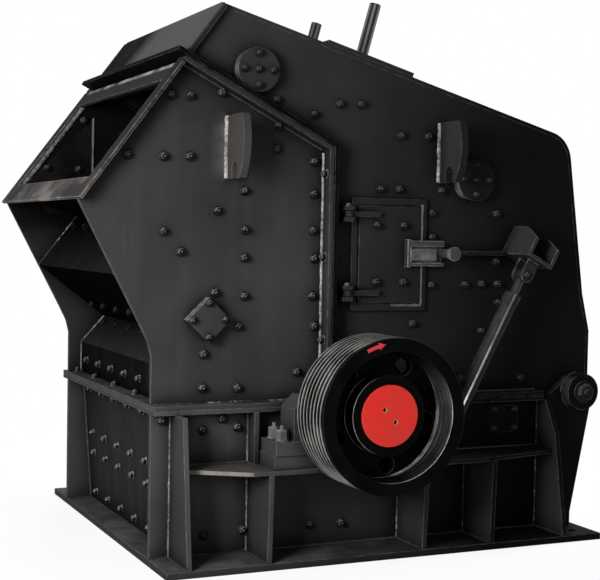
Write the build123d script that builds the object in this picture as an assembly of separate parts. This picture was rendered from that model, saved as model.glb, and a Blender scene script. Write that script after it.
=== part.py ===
# Horizontal shaft impact crusher, pulley side towards -Y, feed mouth towards -X.
# All lengths are millimetres, +Z is up, the origin is the middle of the base underside.
import math
import os

from build123d import *

# base frame
base_half_length = 1232.0
base_half_width = 1079.0
base_plate_thickness = 34.0
deck_width = 279.0
side_thickness = 25.0
front_edge_inset = 2.0
split_z = 763.0
flange_thickness = 22.0
flange_reach = 79.0
flange_front_overhang = 5.0
flange_side_end_inset = 100.0
flange_front_width = 135.0
moving_gap = 5.0
base_rear_inset = 152.0
base_rear_step_drop = 203.0
base_rear_foot_z = 300.0
base_rear_foot_inset = 32.0
base_front_top_inset = 94.0
base_front_foot_inset = 147.0
wall_thickness = 25.0
rear_flange_strip = 40.0

# foundation bolts
foundation_bolt_end_inset = 115.0
foundation_bolt_side_inset = 103.0
foundation_hole_radius = 24.0

# ribs and bearing shelf
rib_thickness = 25.0
rib_one_inset = 100.0
rib_two_clearance = 10.0
rib_three_run = 348.0
rib_four_run = 750.0
rib_five_inset = 88.0
rib_foot_inset = 5.0
rib_one_top_reach = 185.0
rib_two_top_reach = 88.0
rib_five_shoulder_drop = 183.0
rib_five_shoulder_reach = 174.0
shelf_bottom_z = 463.0
shelf_thickness = 20.0
shelf_reach = 290.0
shelf_end_reach = 105.0
shelf_wide_front_run = 588.0
shelf_wide_rear_run = 668.0
shelf_rear_end_reach = 163.0

# rotor, shaft, bearings and pulley
rotor_x = -218.0
rotor_rise = 2.0
rotor_disc_radius = 520.0
rotor_disc_thickness = 70.0
rotor_disc_count = 6
rotor_side_clearance = 110.0
blow_bar_root_radius = 380.0
blow_bar_tip_radius = 625.0
blow_bar_width = 110.0
blow_bar_count = 4
shaft_radius = 80.0
shaft_near_recess = 6.0
shaft_far_stub = 49.0
shaft_hole_radius = 120.0
bearing_running_gap = 0.06
bearing_stand_off = 100.0
bearing_width = 166.0
bearing_foot_inner_lip = 10.0
bearing_foot_outer_lip = 14.0
bearing_foot_half_length = 470.0
bearing_sole_height = 70.0
bearing_sole_extra = 6.0
bearing_sole_inset = 10.0
bearing_foot_height = 66.0
bearing_body_half_length = 372.0
bearing_shoulder_rise = 68.0
bearing_shoulder_cut = 60.0
bearing_dome_radius = 270.0
bearing_face_radius = 170.0
bearing_face_depth = 20.0
pulley_stand_off = 42.0
pulley_width = 292.0
pulley_radius = 377.0
pulley_rim_depth = 65.0
pulley_groove_count = 8
pulley_groove_depth = 20.0
pulley_groove_mouth_share = 0.76
pulley_groove_floor_share = 0.42
pulley_web_recess = 150.0
pulley_web_thickness = 50.0
pulley_hub_radius = 193.0
pulley_hub_back_recess = 22.0
pulley_hub_front_recess = 64.0
pulley_hole_count = 5
pulley_hole_radius = 44.0
pulley_hole_turn = 62.0
cap_radius = 148.0
cap_thickness = 14.0
cap_hole_radius = 10.0
cap_hole_offset = 30.0

# feed mouth, measured on the front face of its frame
mouth_overhang = 380.0
mouth_low_rise = 1013.0
mouth_run = 489.0
mouth_rise = 657.0
mouth_frame_thickness = 16.0
mouth_frame_reach = 86.0
mouth_opening_inset = 28.0
mouth_lip_width = 122.0
mouth_top_width = 107.0

# front housing
front_bend_low_rise = 257.0
front_bend_mid_overhang = 18.0
front_bend_mid_rise = 329.0
front_bend_high_overhang = 62.0
front_bend_high_rise = 417.0
floor_start_share = 0.82
floor_end_inset = 100.0
floor_end_rise = 937.0
ledge_one_overhang = 183.0
ledge_one_rise = 652.0
pocket_inset = 211.0
pocket_rise = 348.0
ledge_two_inset = 76.0
ledge_two_rise = 199.0
diamond_inset = 273.0
diamond_rise = 433.0
diamond_half_diagonal = 111.0
diamond_thickness = 60.0
lug_thickness = 40.0
lug_reach = 225.0
lug_arc_radius = 290.0
lug_arc_lift = 25.0
lug_slot_reach = 105.0
lug_slot_width = 70.0
lug_slot_height = 92.0
front_lug_inset = 372.0
front_lug_rise = 1122.0
front_lug_height = 307.0

# split line between the two upper housings
split_x = -310.0
split_corner_rise = 1297.0
split_top_inset = 129.0
split_top_rise = 1697.0
mouth_bar_width = 90.0
mouth_bar_recess = 40.0
rear_flange_overhang = 50.0

# rear housing
rear_side_clearance = 6.0
shell_thickness = 20.0
apex_run = 208.0
apex_rise = 1977.0
hood_rim_reach = 40.0
hood_rim_step = 6.0
hood_rim_thickness = 30.0
hood_rim_short = 8.0
hood_rim_share = 0.45
roof_end_overhang = 85.0
roof_end_rise = 1409.0
roof_corner_radius = 165.0
rear_wall_mid_overhang = 200.0
rear_wall_mid_rise = 554.0
rear_wall_low_overhang = 250.0
rear_wall_low_rise = 347.0
rear_bottom_inset = 40.0
roof_plate_lead = 8.0
roof_plate_length = 491.0
roof_plate_thickness = 22.0
apron_rod_run = 366.0
apron_rod_y = 380.0
apron_rod_radius = 32.0
apron_rod_length = 415.0
apron_rod_nut_radius = 52.0
apron_rod_nut_height = 38.0
rear_lug_run = 650.0
rear_lug_rise = 1140.0
rear_lug_height = 314.0

# impact aprons hung on shafts that end in round covers
apron_side_gap = 29.0
apron_thickness = 60.0
apron_shaft_radius = 50.0
apron_eye_radius = 85.0
apron_cover_radius = 109.0
apron_cover_thickness = 55.0
front_apron_run = 180.0
front_apron_rise = 1658.0
front_apron_knee_run = 95.0
front_apron_knee_rise = 1272.0
front_apron_end_run = 370.0
front_apron_end_rise = 737.0
rear_apron_run = 757.0
rear_apron_rise = 1157.0
rear_apron_knee_run = 828.0
rear_apron_knee_rise = 737.0
rear_apron_end_run = 738.0
rear_apron_end_rise = 237.0

# rear housing hinge
hinge_inset = 10.0
hinge_rise = 17.0
hinge_pin_radius = 40.0
hinge_running_gap = 0.06
hinge_ear_radius = 84.0
rear_lip_gap = 11.0
hinge_collar_radius = 100.0
hinge_collar_reach = 105.0
carrier_thickness = 40.0
carrier_foot_inset = 32.0
carrier_foot_z = 105.0
carrier_shoulder_overhang = 96.0
carrier_shoulder_drop = 90.0
carrier_top_lead = 72.0
carrier_top_rise = 68.0

# access door
door_frame_run = 135.0
door_frame_length = 436.0
door_frame_rise = 470.0
door_frame_height = 579.0
door_frame_strip = 32.0
door_frame_depth = 21.0
door_panel_gap = 6.0
door_panel_stand_off = 6.0
door_panel_thickness = 22.0
door_hole_inset = 42.0
door_hinge_lead = 37.0
door_hinge_reach = 56.0
door_pin_radius = 11.0
door_eye_radius = 23.0
door_running_gap = 0.06
door_strap_thickness = 26.0
door_strap_height = 26.0
door_strap_run = 150.0
door_hinge_high_inset = 85.0
door_hinge_low_inset = 91.0
door_bracket_lead = 70.0
door_bracket_reach = 82.0
door_bracket_plate = 20.0
door_bracket_tail = 22.0
door_bracket_pad = 12.0
door_bracket_gap = 6.0
latch_front_inset = 131.0
latch_rear_overhang = 84.0
latch_rise = 298.0
latch_half_height = 66.0
latch_top_bar = 30.0
latch_low_bar = 16.0
latch_depth = 36.0
latch_plate_width = 20.0
latch_plate_extra = 6.0
latch_tongue_inset = 37.0
latch_tongue_gap = 5.0
latch_tongue_depth = 24.0
latch_tongue_bevel = 12.0
latch_back_thickness = 8.0
latch_stem_radius = 25.0
latch_stem_length = 126.0
latch_knob_radius = 36.0
latch_knob_depth = 22.0

# opening cylinder and its brackets
cylinder_stand_off = 151.0
cylinder_foot_run = 539.0
cylinder_foot_rise = 77.0
cylinder_head_run = 455.0
cylinder_head_rise = 862.0
barrel_radius = 42.0
barrel_start = 38.0
barrel_end = 858.0
barrel_bore_start = 330.0
barrel_bore_radius = 24.6
gland_radius = 47.0
gland_length = 46.0
foot_eye_radius = 45.0
foot_eye_width = 60.0
foot_pin_radius = 25.0
foot_running_gap = 0.06
foot_lug_gap = 7.0
foot_lug_thickness = 18.0
rod_radius = 24.0
rod_start = 380.0
rod_eye_radius = 34.0
rod_eye_width = 46.0
rod_eye_hole_radius = 17.0
ear_gap = 8.0
ear_thickness = 18.0
ear_radius = 36.0
ear_hole_radius = 17.0
bracket_clear = 84.0
bracket_end_thickness = 18.0
bracket_half_width = 66.0
bracket_plate = 18.0
bracket_height = 150.0
bracket_overhang = 105.0
bracket_top_inset = 21.0
bracket_shoulder_share = 0.42
stay_run = 793.0
stay_length = 256.0
stay_rise = 772.0
stay_thickness = 20.0
stay_reach = 56.0

# square cover on the base side
square_cover_front_inset = 400.0
square_cover_length = 172.0
square_cover_drop = 197.0
square_cover_height = 146.0
square_cover_thickness = 22.0

# places worked out from the sizes above
side_outer = base_half_width - deck_width
front_edge_x = -base_half_length + front_edge_inset
base_rear_wall_x = base_half_length - base_rear_inset
base_rear_foot_x = base_half_length - base_rear_foot_inset
foundation_bolt_x = base_half_length - foundation_bolt_end_inset
foundation_bolt_y = base_half_width - foundation_bolt_side_inset
flange_outer = side_outer + flange_reach
flange_front_x = front_edge_x - flange_front_overhang
flange_side_end_x = base_rear_wall_x - flange_side_end_inset
base_front_top_x = front_edge_x + base_front_top_inset
base_front_foot_x = front_edge_x + base_front_foot_inset
base_rear_step_z = split_z - base_rear_step_drop
rotor_z = split_z + rotor_rise
rib_one_x = front_edge_x + rib_one_inset
rib_three_x = rotor_x + rib_three_run
rib_four_x = rotor_x + rib_four_run
rib_five_x = base_rear_wall_x - rib_five_inset
rib_foot_outer = base_half_width - rib_foot_inset
rib_one_top_outer = side_outer + rib_one_top_reach
rib_two_top_outer = side_outer + rib_two_top_reach
rib_five_shoulder_z = split_z - rib_five_shoulder_drop
rib_five_shoulder_outer = side_outer + rib_five_shoulder_reach
shelf_outer = side_outer + shelf_reach
shelf_end_outer = side_outer + shelf_end_reach
shelf_rear_end_outer = side_outer + shelf_rear_end_reach
shelf_wide_front_x = rotor_x - shelf_wide_front_run
shelf_wide_rear_x = rotor_x + shelf_wide_rear_run
rotor_half_width = side_outer - rotor_side_clearance
bearing_inner = side_outer + bearing_stand_off
bearing_outer = bearing_inner + bearing_width
bearing_foot_inner = bearing_inner - bearing_foot_inner_lip
bearing_foot_outer = bearing_outer + bearing_foot_outer_lip
bearing_shoulder_z = rotor_z + bearing_shoulder_rise
shaft_far_end = bearing_outer + shaft_far_stub
pulley_back = bearing_outer + pulley_stand_off
pulley_front = pulley_back + pulley_width
pulley_rim_inner = pulley_radius - pulley_rim_depth
pulley_hole_circle = (pulley_hub_radius + pulley_rim_inner) / 2
pulley_web_front = pulley_front - pulley_web_recess
pulley_hub_back = pulley_back + pulley_hub_back_recess
pulley_hub_front = pulley_front - pulley_hub_front_recess
shaft_near_end = pulley_hub_front - shaft_near_recess
cap_front = pulley_hub_front + cap_thickness
mouth_low_x = front_edge_x - mouth_overhang
mouth_low_z = split_z + mouth_low_rise
mouth_top_x = mouth_low_x + mouth_run
mouth_top_z = mouth_low_z + mouth_rise
mouth_frame_outer = side_outer + mouth_frame_reach
mouth_opening_half = side_outer - mouth_opening_inset
front_bend_low_z = split_z + front_bend_low_rise
front_bend_mid_x = front_edge_x - front_bend_mid_overhang
front_bend_mid_z = split_z + front_bend_mid_rise
front_bend_high_x = front_edge_x - front_bend_high_overhang
front_bend_high_z = split_z + front_bend_high_rise
floor_end_x = front_edge_x + floor_end_inset
floor_end_z = split_z + floor_end_rise
ledge_one_x = front_edge_x - ledge_one_overhang
ledge_one_z = split_z + ledge_one_rise
pocket_x = front_edge_x + pocket_inset
pocket_z = split_z + pocket_rise
ledge_two_x = front_edge_x + ledge_two_inset
ledge_two_z = split_z + ledge_two_rise
diamond_x = front_edge_x + diamond_inset
diamond_z = split_z + diamond_rise
front_lug_x = front_edge_x + front_lug_inset
front_lug_low_z = split_z + front_lug_rise
front_lug_high_z = front_lug_low_z + front_lug_height
split_corner_z = split_z + split_corner_rise
split_top_x = front_edge_x + split_top_inset
split_top_z = split_z + split_top_rise
rear_outer = side_outer - rear_side_clearance
apex_x = split_top_x + apex_run
apex_z = split_z + apex_rise
roof_end_x = base_rear_wall_x + roof_end_overhang
roof_end_z = split_z + roof_end_rise
rear_wall_mid_x = base_rear_wall_x + rear_wall_mid_overhang
rear_wall_mid_z = split_z + rear_wall_mid_rise
rear_wall_low_x = base_rear_wall_x + rear_wall_low_overhang
rear_wall_low_z = split_z + rear_wall_low_rise
rear_bottom_front_x = base_rear_wall_x - rear_bottom_inset
roof_plate_start_x = split_x - roof_plate_lead
roof_plate_end_x = roof_plate_start_x + roof_plate_length
apron_rod_x = roof_plate_start_x + apron_rod_run
rear_lug_x = split_x + rear_lug_run
rear_lug_low_z = split_z + rear_lug_rise
rear_lug_high_z = rear_lug_low_z + rear_lug_height
front_apron_x = apex_x + front_apron_run
front_apron_z = split_z + front_apron_rise
front_apron_knee_x = split_x + front_apron_knee_run
front_apron_knee_z = split_z + front_apron_knee_rise
front_apron_end_x = split_x + front_apron_end_run
front_apron_end_z = split_z + front_apron_end_rise
rear_apron_x = rotor_x + rear_apron_run
rear_apron_z = split_z + rear_apron_rise
rear_apron_knee_x = rotor_x + rear_apron_knee_run
rear_apron_knee_z = split_z + rear_apron_knee_rise
rear_apron_end_x = rotor_x + rear_apron_end_run
rear_apron_end_z = split_z + rear_apron_end_rise
hinge_x = base_half_length - hinge_inset
hinge_z = split_z + hinge_rise
hinge_collar_outer = side_outer + hinge_collar_reach
carrier_foot_x = base_half_length - carrier_foot_inset
carrier_shoulder_x = hinge_x + carrier_shoulder_overhang
carrier_shoulder_z = hinge_z - carrier_shoulder_drop
carrier_top_x = hinge_x - carrier_top_lead
carrier_top_z = hinge_z + carrier_top_rise
door_frame_front_x = split_x + door_frame_run
door_frame_rear_x = door_frame_front_x + door_frame_length
door_frame_low_z = split_z + door_frame_rise
door_frame_high_z = door_frame_low_z + door_frame_height
door_frame_outer = rear_outer + door_frame_depth
door_panel_inner = rear_outer + door_panel_stand_off
door_panel_outer = door_panel_inner + door_panel_thickness
door_hinge_x = door_frame_front_x - door_hinge_lead
door_hinge_y = rear_outer + door_hinge_reach
door_strap_end_x = door_frame_front_x + door_strap_run
door_hinge_high_z = door_frame_high_z - door_hinge_high_inset
door_hinge_low_z = door_frame_low_z + door_hinge_low_inset
door_bracket_front_x = door_frame_front_x - door_bracket_lead
door_bracket_outer = rear_outer + door_bracket_reach
latch_front_x = door_frame_rear_x - latch_front_inset
latch_rear_x = door_frame_rear_x + latch_rear_overhang
latch_z = door_frame_low_z + latch_rise
latch_tongue_rear_x = latch_rear_x - latch_tongue_inset
cylinder_y = rear_outer + cylinder_stand_off
cylinder_foot_x = rotor_x + cylinder_foot_run
cylinder_head_x = cylinder_foot_x + cylinder_head_run
shelf_top_z = shelf_bottom_z + shelf_thickness
cylinder_foot_z = shelf_top_z + cylinder_foot_rise
cylinder_head_z = cylinder_foot_z + cylinder_head_rise
bracket_reach = cylinder_y + bracket_overhang
bracket_top_reach = cylinder_y - bracket_top_inset
stay_front_x = split_x + stay_run
stay_rear_x = stay_front_x + stay_length
stay_z = split_z + stay_rise
stay_outer = rear_outer + stay_reach
square_cover_front_x = base_rear_wall_x - square_cover_front_inset
square_cover_rear_x = square_cover_front_x + square_cover_length
square_cover_low_z = split_z - square_cover_drop
square_cover_high_z = square_cover_low_z + square_cover_height
apron_half_width = rear_outer - side_thickness - apron_side_gap
rib_two_x = rotor_x - bearing_foot_half_length - rib_two_clearance - rib_thickness


# shared shape helpers
def prism(points, y_low, y_high):
    face = Plane.XZ * make_face(Polyline(points, close=True))
    return Pos(0, y_low, 0) * extrude(face, amount=y_high - y_low, dir=(0, 1, 0))


def fin(points, x_low, x_high):
    face = Plane.YZ * make_face(Polyline(points, close=True))
    return Pos(x_low, 0, 0) * extrude(face, amount=x_high - x_low, dir=(1, 0, 0))


def slab(points, z_low, z_high):
    face = make_face(Polyline(points, close=True))
    return Pos(0, 0, z_low) * extrude(face, amount=z_high - z_low, dir=(0, 0, 1))


def block(x_low, x_high, y_low, y_high, z_low, z_high):
    size = Box(x_high - x_low, y_high - y_low, z_high - z_low, align=(Align.MIN, Align.MIN, Align.MIN))
    return Pos(x_low, y_low, z_low) * size


def cross_rod(x, z, radius, y_low, y_high):
    rod = Cylinder(radius, y_high - y_low, align=(Align.CENTER, Align.CENTER, Align.MIN))
    return Pos(x, y_low, z) * Rot(-90, 0, 0) * rod


def upright_rod(x, y, radius, z_low, z_high):
    rod = Cylinder(radius, z_high - z_low, align=(Align.CENTER, Align.CENTER, Align.MIN))
    return Pos(x, y, z_low) * rod


def far(shape):
    return mirror(shape, about=Plane.XZ)


def unit(start, end):
    length = math.hypot(end[0] - start[0], end[1] - start[1])
    return ((end[0] - start[0]) / length, (end[1] - start[1]) / length)


def step(point, direction, distance):
    return (point[0] + direction[0] * distance, point[1] + direction[1] * distance)


def left_of(direction):
    return (-direction[1], direction[0])


def meet(point_a, direction_a, point_b, direction_b):
    turn = direction_a[0] * direction_b[1] - direction_a[1] * direction_b[0]
    gap = (point_b[0] - point_a[0], point_b[1] - point_a[1])
    along = (gap[0] * direction_b[1] - gap[1] * direction_b[0]) / turn
    return step(point_a, direction_a, along)


def left_path(points, distance):
    ways = [unit(a, b) for a, b in zip(points, points[1:])]
    moved = [step(points[0], left_of(ways[0]), distance)]
    for before, after, corner in zip(ways, ways[1:], points[1:-1]):
        on_before = step(corner, left_of(before), distance)
        on_after = step(corner, left_of(after), distance)
        moved.append(meet(on_before, before, on_after, after))
    moved.append(step(points[-1], left_of(ways[-1]), distance))
    return moved


def ribbon(points, thickness):
    return points + left_path(points, thickness)[::-1]


def round_corner(shape, x, z, radius):
    edge = shape.edges().filter_by(Axis.Y).sort_by_distance((x, 0, z))[0]
    return fillet(edge, radius)


# lines that several pieces share
side_inner = side_outer - side_thickness
rear_inner = rear_outer - side_thickness
base_top_z = split_z - flange_thickness
front_floor_z = split_z + flange_thickness
rear_flange_low_z = split_z + moving_gap
rear_floor_z = rear_flange_low_z + flange_thickness
mouth_low = (mouth_low_x, mouth_low_z)
mouth_way = unit(mouth_low, (mouth_top_x, mouth_top_z))
mouth_in = (mouth_way[1], -mouth_way[0])
mouth_length = math.hypot(mouth_top_x - mouth_low_x, mouth_top_z - mouth_low_z)
mouth_back = step(mouth_low, mouth_in, mouth_frame_thickness)
split_corner = (split_x, split_corner_z)
split_top = (split_top_x, split_top_z)
split_way = unit(split_top, split_corner)
split_up = left_of(split_way)
up_way = (0, 1)
half_gap = moving_gap / 2


def split_point(lift, shift_x):
    on_line = step(split_corner, split_up, lift)
    return meet(on_line, split_way, (split_x + shift_x, 0), up_way)


def split_start(lift):
    on_line = step(split_corner, split_up, lift)
    return meet(on_line, split_way, mouth_low, mouth_way)


front_lift = -half_gap
front_lift_in = -half_gap - flange_thickness
rear_lift = half_gap
rear_lift_in = half_gap + flange_thickness

# outer outline of the rear shell, from the hood foot over the roof to the rear foot
shell_outer = [split_start(rear_lift_in), (apex_x, apex_z), (roof_end_x, roof_end_z),
               (rear_wall_mid_x, rear_wall_mid_z), (rear_wall_low_x, rear_wall_low_z),
               (rear_wall_low_x, rear_floor_z)]
shell_inner = left_path(shell_outer, -shell_thickness)
shell_inner[0] = meet(shell_outer[0], split_way, shell_inner[0], mouth_way)
roof_way = unit((apex_x, apex_z), (roof_end_x, roof_end_z))
roof_up = left_of(roof_way)
cylinder_way = unit((cylinder_foot_x, cylinder_foot_z), (cylinder_head_x, cylinder_head_z))
cylinder_right = (cylinder_way[1], -cylinder_way[0])
cylinder_length = math.hypot(cylinder_head_x - cylinder_foot_x, cylinder_head_z - cylinder_foot_z)


def shaft_hole():
    return cross_rod(rotor_x, rotor_z, shaft_hole_radius, -base_half_width, base_half_width)


# base frame
def base_plate():
    plate = block(-base_half_length, base_half_length, -base_half_width, base_half_width,
                  0, base_plate_thickness)
    plate -= block(base_front_foot_x + wall_thickness, base_rear_wall_x - wall_thickness,
                   -side_inner, side_inner, 0, base_plate_thickness)
    for side_x in (-foundation_bolt_x, foundation_bolt_x):
        for side_y in (-foundation_bolt_y, foundation_bolt_y):
            plate -= upright_rod(side_x, side_y, foundation_hole_radius, 0, base_plate_thickness)
    return plate


def base_side():
    outline = [(front_edge_x, base_plate_thickness), (front_edge_x, base_top_z),
               (base_rear_wall_x, base_top_z), (base_rear_wall_x, base_rear_step_z),
               (base_rear_foot_x, base_rear_foot_z), (base_rear_foot_x, base_plate_thickness)]
    plate = prism(outline, -side_outer, -side_inner) - shaft_hole()
    cover = block(square_cover_front_x, square_cover_rear_x, -side_outer - square_cover_thickness,
                  -side_outer, square_cover_low_z, square_cover_high_z)
    return plate + cover


def base_front_wall():
    outer = [(base_front_top_x, base_top_z), (base_front_foot_x, base_plate_thickness),
             (base_front_foot_x + wall_thickness, base_plate_thickness),
             (base_front_top_x + wall_thickness, base_top_z)]
    return prism(outer, -side_inner, side_inner)


def base_rear_wall():
    return block(base_rear_wall_x - wall_thickness, base_rear_wall_x, -side_inner, side_inner,
                 base_plate_thickness, base_top_z)


def base_flange(x_low, x_high):
    plate = block(x_low, x_high, -flange_outer, flange_outer, base_top_z, split_z)
    plate -= block(flange_front_x + flange_front_width, base_rear_wall_x - rear_flange_strip,
                   -side_inner, side_inner, base_top_z, split_z)
    for low, high in ((-flange_outer, -side_outer), (side_outer, flange_outer)):
        plate -= block(flange_side_end_x, base_rear_wall_x, low, high, base_top_z, split_z)
    return plate - shaft_hole()


def rear_lip():
    lip = block(rear_bottom_front_x + moving_gap, hinge_x - hinge_ear_radius - rear_lip_gap,
                -side_outer, -side_inner, split_z, rear_floor_z - moving_gap)
    return lip + far(lip)


def rib(x, points):
    return fin([(-reach, height) for reach, height in points], x, x + rib_thickness)


def rib_shelf():
    plan = [(rib_one_x + rib_thickness, -side_outer), (rib_one_x + rib_thickness, -shelf_end_outer),
            (shelf_wide_front_x, -shelf_outer), (shelf_wide_rear_x, -shelf_outer),
            (rib_five_x, -shelf_rear_end_outer), (rib_five_x, -side_outer)]
    body = slab(plan, shelf_bottom_z, shelf_top_z)
    body += rib(rib_one_x, [(side_outer, base_plate_thickness), (rib_foot_outer, base_plate_thickness),
                            (rib_one_top_outer, base_top_z), (side_outer, base_top_z)])
    body += rib(rib_five_x, [(side_outer, base_plate_thickness), (rib_foot_outer, base_plate_thickness),
                             (rib_five_shoulder_outer, rib_five_shoulder_z), (flange_outer, base_top_z),
                             (side_outer, base_top_z)])
    body += rib(rib_two_x, [(side_outer, shelf_top_z), (rib_two_top_outer, shelf_top_z),
                            (rib_two_top_outer, base_top_z), (side_outer, base_top_z)])
    for rib_x in (rib_two_x, rib_three_x, rib_four_x):
        body += rib(rib_x, [(side_outer, base_plate_thickness), (rib_foot_outer, base_plate_thickness),
                            (shelf_outer, shelf_bottom_z), (side_outer, shelf_bottom_z)])
    return body


def bearing():
    foot_low_z = shelf_top_z + bearing_sole_height
    body_low_z = foot_low_z + bearing_foot_height
    sole_half_length = bearing_foot_half_length + bearing_sole_extra
    foot = block(rotor_x - bearing_foot_half_length, rotor_x + bearing_foot_half_length,
                 -bearing_foot_outer, -bearing_foot_inner, foot_low_z, body_low_z)
    foot += block(rotor_x - sole_half_length, rotor_x + sole_half_length,
                  -bearing_foot_outer + bearing_sole_inset, -bearing_foot_inner, shelf_top_z, foot_low_z)
    low_x = rotor_x - bearing_body_half_length
    high_x = rotor_x + bearing_body_half_length
    outline = [(low_x, body_low_z), (low_x, bearing_shoulder_z - bearing_shoulder_cut),
               (low_x + bearing_shoulder_cut, bearing_shoulder_z),
               (high_x - bearing_shoulder_cut, bearing_shoulder_z),
               (high_x, bearing_shoulder_z - bearing_shoulder_cut), (high_x, body_low_z)]
    body = prism(outline, -bearing_outer, -bearing_inner)
    dome = cross_rod(rotor_x, rotor_z, bearing_dome_radius, -bearing_outer, -bearing_inner)
    dome -= block(rotor_x - bearing_dome_radius, rotor_x + bearing_dome_radius,
                  -bearing_outer, -bearing_inner, rotor_z - bearing_dome_radius, rotor_z)
    body += dome
    body += cross_rod(rotor_x, rotor_z, bearing_face_radius, -bearing_outer - bearing_face_depth,
                      -bearing_outer)
    body += foot
    bore = cross_rod(rotor_x, rotor_z, shaft_radius + bearing_running_gap,
                     -bearing_outer - bearing_face_depth, -bearing_inner)
    return body - bore


def hinge_carrier():
    carrier_outer = side_outer + carrier_thickness
    outline = [(rib_five_x + rib_thickness, base_plate_thickness), (carrier_foot_x, base_plate_thickness),
               (carrier_foot_x, carrier_foot_z), (carrier_shoulder_x, carrier_shoulder_z),
               (hinge_x, hinge_z), (carrier_top_x, carrier_top_z), (rib_five_x + rib_thickness, base_top_z)]
    plate = prism(outline, -carrier_outer, -side_outer)
    plate += cross_rod(hinge_x, hinge_z, hinge_collar_radius, -hinge_collar_outer, -side_outer)
    return plate + cross_rod(hinge_x, hinge_z, hinge_pin_radius, -side_outer, -rear_inner)


def cylinder_foot():
    half_eye = foot_eye_width / 2
    inner = half_eye + foot_lug_gap
    outer = inner + foot_lug_thickness
    outline = [(cylinder_foot_x - foot_eye_radius, shelf_top_z),
               (cylinder_foot_x + foot_eye_radius, shelf_top_z),
               (cylinder_foot_x + foot_eye_radius, cylinder_foot_z),
               (cylinder_foot_x - foot_eye_radius, cylinder_foot_z)]
    body = cross_rod(cylinder_foot_x, cylinder_foot_z, foot_pin_radius,
                     -cylinder_y - outer, -cylinder_y + outer)
    for low in (-outer, inner):
        low_y = -cylinder_y + low
        high_y = low_y + foot_lug_thickness
        body += prism(outline, low_y, high_y)
        body += cross_rod(cylinder_foot_x, cylinder_foot_z, foot_eye_radius, low_y, high_y)
    return body


# front upper housing
def front_side():
    under = step(split_corner, split_up, front_lift_in)
    mouth_corner = meet(under, split_way, mouth_back, mouth_way)
    post_x = split_x - half_gap - flange_thickness
    outline = [(front_edge_x, front_floor_z), (front_edge_x, front_bend_low_z),
               (front_bend_mid_x, front_bend_mid_z), (front_bend_high_x, front_bend_high_z), mouth_back,
               mouth_corner, split_point(front_lift_in, post_x - split_x), (post_x, front_floor_z)]
    plate = prism(outline, -side_outer, -side_inner)
    return plate + lifting_lug(front_lug_x, front_lug_low_z, front_lug_high_z, side_outer)


def lifting_lug(x, low_z, high_z, wall):
    slot_low = wall + lug_slot_reach - lug_slot_width / 2
    slot_high = wall + lug_slot_reach + lug_slot_width / 2
    slot_mid = wall + lug_slot_reach
    slot_top = low_z + lug_slot_height
    slot_side = slot_top - lug_slot_width / 2
    outline = [(wall, low_z), (slot_low, low_z), (slot_low, slot_side), (slot_mid, slot_top),
               (slot_high, slot_side), (slot_high, low_z), (wall + lug_reach, low_z),
               (wall + lug_reach, high_z), (wall, high_z)]
    plate = fin([(-reach, height_z) for reach, height_z in outline], x, x + lug_thickness)
    arc_z = (low_z + high_z) / 2 + lug_arc_lift
    arc = Pos(x + lug_thickness / 2, lug_arc_radius - lug_reach - wall, arc_z) * Rot(0, 90, 0)
    return plate & (arc * Cylinder(lug_arc_radius, lug_thickness))


def front_wall():
    floor_start = step(mouth_back, mouth_way, mouth_lip_width * floor_start_share)
    floor_end = (floor_end_x, floor_end_z)
    floor_plate = prism(ribbon([floor_end, floor_start], wall_thickness), -side_inner, side_inner)
    under_floor = step(floor_end, unit(floor_start, floor_end), -wall_thickness * 2)
    path = [under_floor, (ledge_one_x, ledge_one_z), (pocket_x, pocket_z), (ledge_two_x, ledge_two_z),
            (ledge_two_x, front_floor_z)]
    return floor_plate + prism(ribbon(path, wall_thickness), -side_inner, side_inner)


def front_flange():
    face_x = split_x - half_gap
    face = [split_start(front_lift), split_point(front_lift, -half_gap), (face_x, split_z),
            (flange_front_x, split_z)]
    inner = [(flange_front_x, front_floor_z), (face_x - flange_thickness, front_floor_z),
             split_point(front_lift_in, -half_gap - flange_thickness), split_start(front_lift_in)]
    body = prism(face + inner, -flange_outer, -side_inner) + prism(face + inner, side_inner, flange_outer)
    body += block(flange_front_x, flange_front_x + flange_front_width, -side_inner, side_inner,
                  split_z, front_floor_z)
    bar_end = mouth_bar_recess + mouth_bar_width
    bar = [step(split_start(front_lift), split_way, mouth_bar_recess),
           step(split_start(front_lift), split_way, bar_end),
           step(split_start(front_lift_in), split_way, bar_end),
           step(split_start(front_lift_in), split_way, mouth_bar_recess)]
    return body + prism(bar, -side_inner, side_inner)


def mouth_strip(start, end, y_low, y_high):
    outline = [step(mouth_low, mouth_way, start), step(mouth_low, mouth_way, end),
               step(mouth_back, mouth_way, end), step(mouth_back, mouth_way, start)]
    return prism(outline, y_low, y_high)


def feed_frame():
    lip = mouth_strip(0, mouth_lip_width, -mouth_frame_outer, mouth_frame_outer)
    top = mouth_strip(mouth_length - mouth_top_width, mouth_length, -mouth_frame_outer, mouth_frame_outer)
    body = lip + top
    for low, high in ((-mouth_frame_outer, -mouth_opening_half), (mouth_opening_half, mouth_frame_outer)):
        body += mouth_strip(mouth_lip_width, mouth_length - mouth_top_width, low, high)
    return body


def diamond_cover():
    reach = diamond_half_diagonal
    outline = [(diamond_x - reach, diamond_z), (diamond_x, diamond_z + reach),
               (diamond_x + reach, diamond_z), (diamond_x, diamond_z - reach)]
    return prism(outline, -side_outer - diamond_thickness, -side_outer)


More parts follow.
